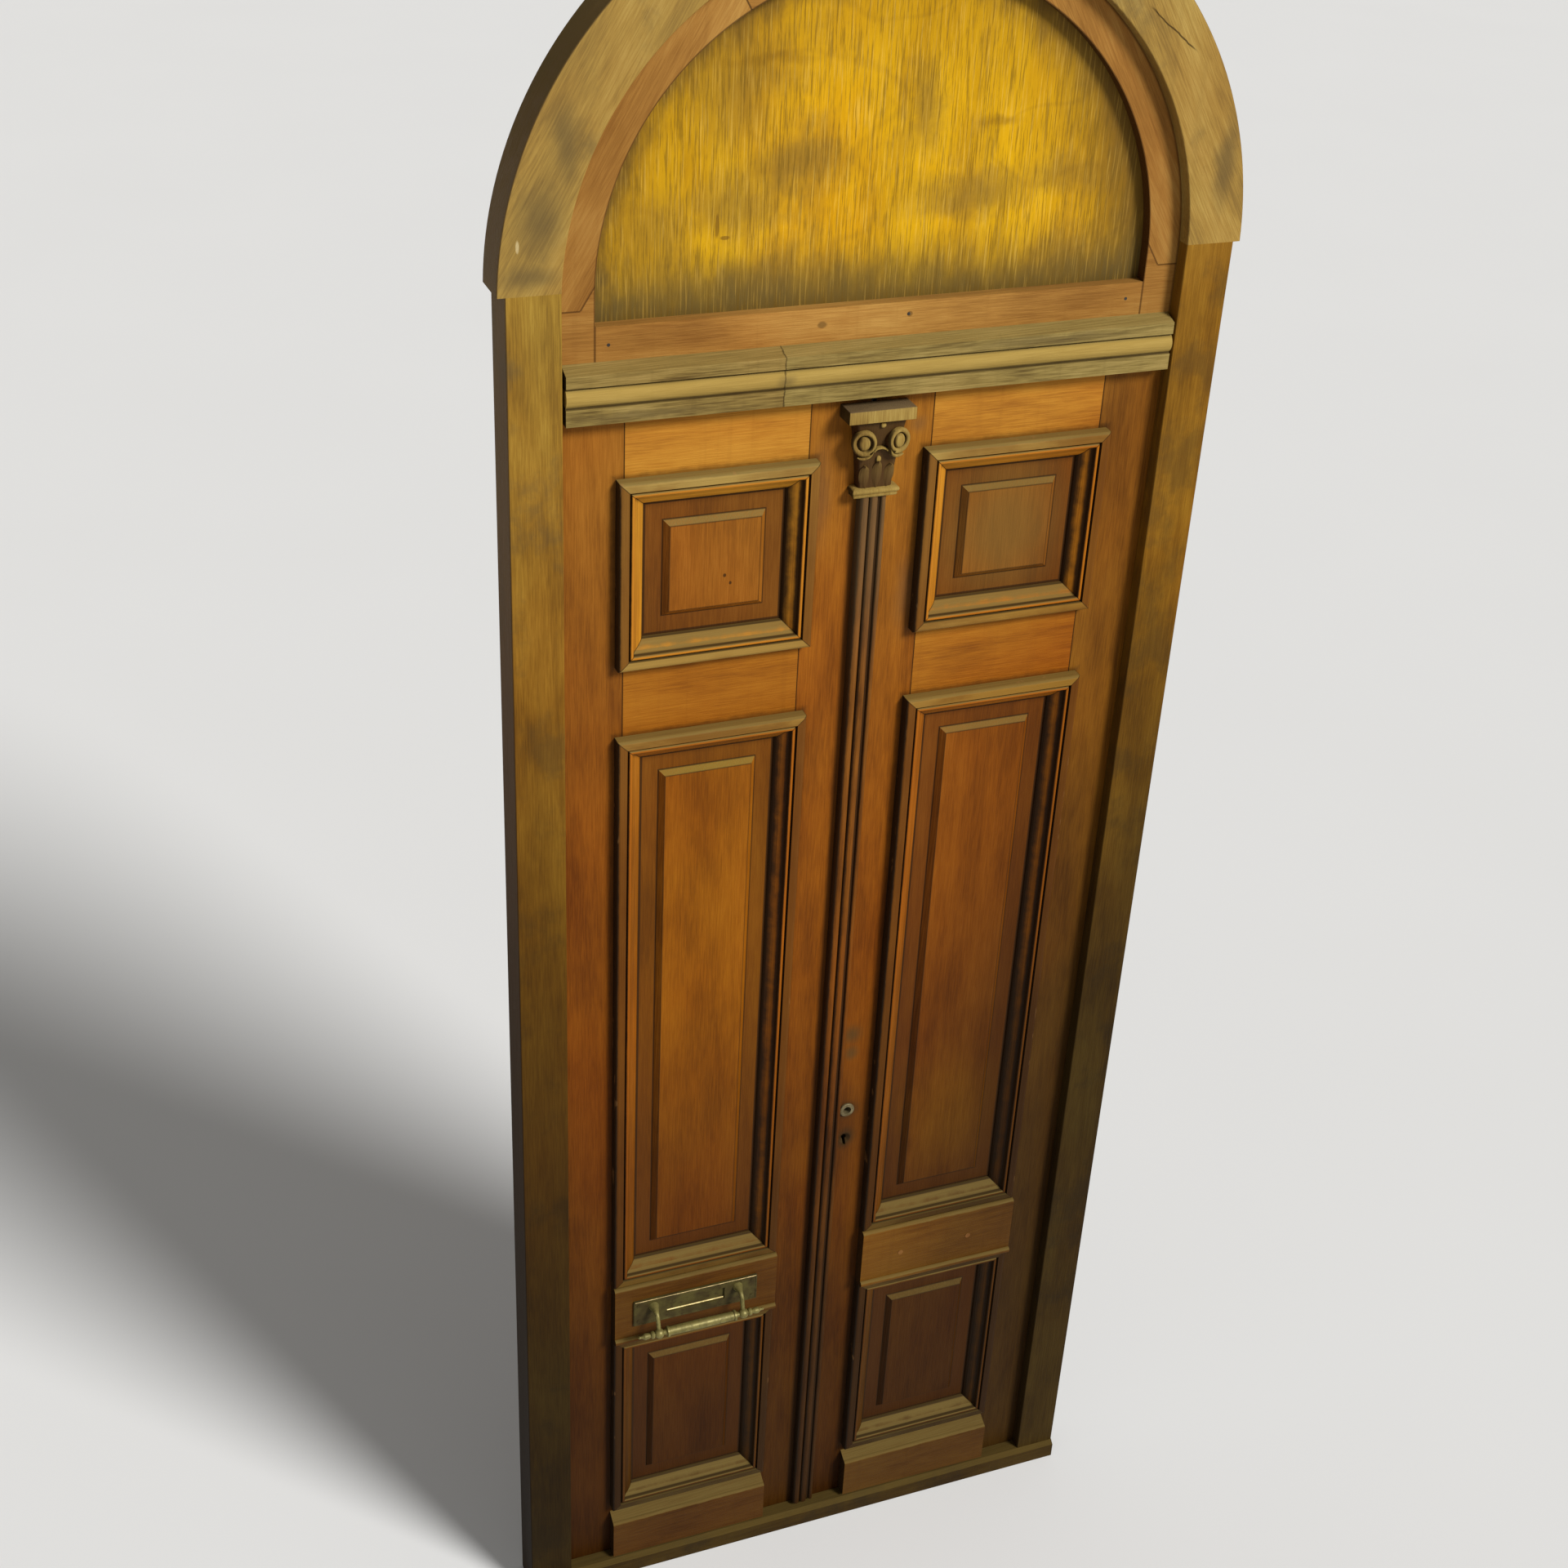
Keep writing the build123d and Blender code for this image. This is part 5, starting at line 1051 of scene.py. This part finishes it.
def heads(name, tree, points, body, slot, material, **sizes):
    """One plain mesh of all the heads at points."""
    mesh = bpy.data.meshes.new(name + "_points")
    mesh.from_pydata(points, [], [])
    carrier = bpy.data.objects.new(name + "_points", mesh)
    bpy.context.scene.collection.objects.link(carrier)
    modifier = carrier.modifiers.new("heads", "NODES")
    modifier.node_group = tree
    sockets = {item.name: item.identifier for item in tree.interface.items_tree if item.in_out == "INPUT"}
    for label, value in dict(sizes, Finish=material).items():
        modifier[sockets[label]] = value
    whole = carrier.evaluated_get(bpy.context.evaluated_depsgraph_get())
    made = bpy.data.meshes.new_from_object(whole)
    made.name = name
    bpy.data.objects.remove(carrier)
    return finished(name, made, material, body, 40.0)


def half_round(ends, y, z, deep, tall, steps):
    """A bar along x, round in front, between two ends."""
    turns = [math.pi * k / steps for k in range(steps + 1)]
    bar = Carving()
    bar.shell([[(x, y - deep * math.sin(a), z + tall * math.cos(a)) for a in turns] for x in ends])
    return bar


def fit_letter_plate():
    """Rim, top edge and screws of the letter plate, and the flap's rolled lip; the edge and the lip are
    bright with a painted highlight.
    """
    low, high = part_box("letter_plate")
    set_in = 0.0004
    left, right, bottom, top = low.x + set_in, high.x - set_in, low.z + set_in, high.z - set_in
    rows = []
    for inset, y in RIM:
        corners = ((left + inset, bottom + inset), (right - inset, bottom + inset),
                   (right - inset, top - inset), (left + inset, top - inset))
        rows.append([(x, PLATE_FACE + y, z) for x, z in corners])
    rim = Carving()
    rim.grid(rows + [rows[0]])
    rim.build("letter_plate_rim", BRONZE, "left_leaf", "letter_brass", 60.0)
    # Painted highlight: a bright bronze on the plate's top edge.
    edge = metal_finish("plate_edge", tone(196, 172, 120), tone(120, 104, 62), tone(84, 70, 40), 0.36, 0.6)
    bright = half_round((left + 0.002, right - 0.002), PLATE_FACE - 0.0008, top - 0.0008, 0.0012, 0.00072, 6)
    bright.build("plate_top_edge_highlight", edge, "left_leaf", "letter_brass", 60.0)
    screw_x, screw_heights = 0.1215, (0.7425, 0.7845)
    corners = [(PLATE_X + x, PLATE_FACE - 0.0002, z) for x in (-screw_x, screw_x) for z in screw_heights]
    heads("letter_plate_screws", SCREWS, corners, "left_leaf", "letter_brass", BRONZE,
          Radius=0.0036, Rise=0.0016, Seed=3)
    lip_half, lip_y, lip_z = 0.0605, -0.0414, 0.7518
    lip = half_round((PLATE_X - lip_half, PLATE_X + lip_half), lip_y, lip_z, 0.0026, 0.0022, 8)
    # The lip wears the bronze with a painted highlight.
    lip.build("letter_flap_lip", HIGHLIGHT_BRONZE, "letter_flap", "letter_brass")


def fit_hardware():
    """Screw heads on the hinges and on the plates in the leaves' meeting edges."""
    middle_y, edge_x = 0.0135, 0.0037
    sizes = dict(Radius=0.0036, Rise=0.0012)
    plates = [(-edge_x, middle_y, z) for z in (1.030, 1.136, 0.198, 0.274, 2.452, 2.528)]
    heads("edge_plate_screws", SCREWS, plates, "left_leaf", "lock_steel", STEEL,
          Facing=(1, 0, 0), Seed=5, **sizes)
    lock = [(edge_x, middle_y, z) for z in (0.998, 1.202)]
    heads("lock_screws", SCREWS, lock, "right_leaf", "lock_steel", STEEL, Facing=(-1, 0, 0), Seed=7, **sizes)
    holes = ((0.018, -0.040), (0.032, -0.016), (0.018, 0.016), (0.032, 0.040))
    rows = [(y, z + dz) for z in HINGE_HEIGHTS for y, dz in holes]
    leaf_x, jamb_x = 0.545, 0.548
    for side, body in ((-1, "left_leaf"), (1, "right_leaf")):
        for owner, x, facing in ((body, leaf_x, side), ("root", jamb_x, -side)):
            points = [(side * x, y, z) for y, z in rows]
            heads(f"{owner}_{body}_hinge_screws", SCREWS, points, owner, "hinge_iron", IRON,
                  Radius=0.0034, Rise=0.0012, Facing=(facing, 0, 0), Seed=9)


def fit_pegs():
    """Pegs in the right apron and the nail heads that show."""
    tones = tone(160, 112, 58), tone(142, 96, 48), tone(116, 78, 40)
    pale = joinery("peg_timber", "right_apron_board", tones=tones, shade=0.45)
    pegs = [(x, APRON_FACE - 0.0002, z) for x, z in ((0.184, 0.759), (0.339, 0.762))]
    heads("apron_pegs", PEGS, pegs, "right_leaf", "apron_timber", pale, Radius=0.0058, Rise=0.0010, Seed=1)
    nails = [(x, LEAF_FACE - 0.0004, z) for x, z in ((-0.455, 2.797), (0.050, 2.806), (0.447, 2.80))]
    heads("sash_nails", PEGS, nails, "root", "hinge_iron", IRON, Radius=0.0028, Rise=0.0014, Seed=1)


# Light, floor and camera
def set_stage():
    """A pale world that lights softly, one broad sun and a pale floor."""
    world = bpy.data.worlds.new("studio")
    bpy.context.scene.world = world
    world.use_nodes = True
    net = Net(world.node_tree)
    back = world.node_tree.nodes["Background"]
    path = net.node("ShaderNodeLightPath").outputs
    seen = net.most(path["Is Camera Ray"], net.most(path["Is Glossy Ray"], path["Is Transmission Ray"]))
    net.put(back.inputs["Color"], (1.0, 0.99, 0.97, 1.0))
    net.put(back.inputs["Strength"], net.plus(0.24, net.times(seen, 0.58)))
    sun = bpy.data.objects.new("studio_light", bpy.data.lights.new("studio_light", "SUN"))
    sun.data.energy = 3.7
    sun.data.angle = math.radians(18)
    sun.rotation_euler = Vector((-0.52, 0.78, -0.70)).to_track_quat("-Z", "Y").to_euler()
    bpy.context.scene.collection.objects.link(sun)
    floor_mesh = bpy.data.meshes.new("floor")
    reach = 40.0
    corners = [(-reach, -reach, 0), (reach, -reach, 0), (reach, reach, 0), (-reach, reach, 0)]
    floor_mesh.from_pydata(corners, [], [(0, 1, 2, 3)])
    floor = bpy.data.objects.new("floor", floor_mesh)
    bpy.context.scene.collection.objects.link(floor)
    pale = Finish("pale_floor")
    soft = pale.noise(pale.place, 0.8, 2.0)
    colour = pale.mix(soft, (0.78, 0.775, 0.76, 1), (0.80, 0.795, 0.78, 1))
    floor.data.materials.append(pale.close(colour, 0.9, specular=0.1))


def set_camera():
    """The camera, where it stands and the directions it looks along."""
    camera = bpy.data.objects.new("camera", bpy.data.cameras.new("camera"))
    camera.data.lens = 50.63
    camera.data.sensor_width = 36.0
    right = Vector((0.9340327, -0.3543934, 0.0445893))
    down = Vector((-0.1477103, -0.4968958, -0.8551469))
    ahead = Vector((0.3252147, 0.7921489, -0.5164645))
    turn = Matrix((right, -down, -ahead)).transposed().to_4x4()
    camera.matrix_world = Matrix.Translation((-1.40828, -3.14141, 3.98667)) @ turn
    camera.data.clip_end = 200.0
    bpy.context.scene.collection.objects.link(camera)
    bpy.context.scene.camera = camera


dress_leaves()
dress_frame()
dress_metal()
make_capital()
fit_letter_plate()
fit_hardware()
fit_pegs()
set_stage()
set_camera()
bpy.context.scene.view_settings.view_transform = "Standard"
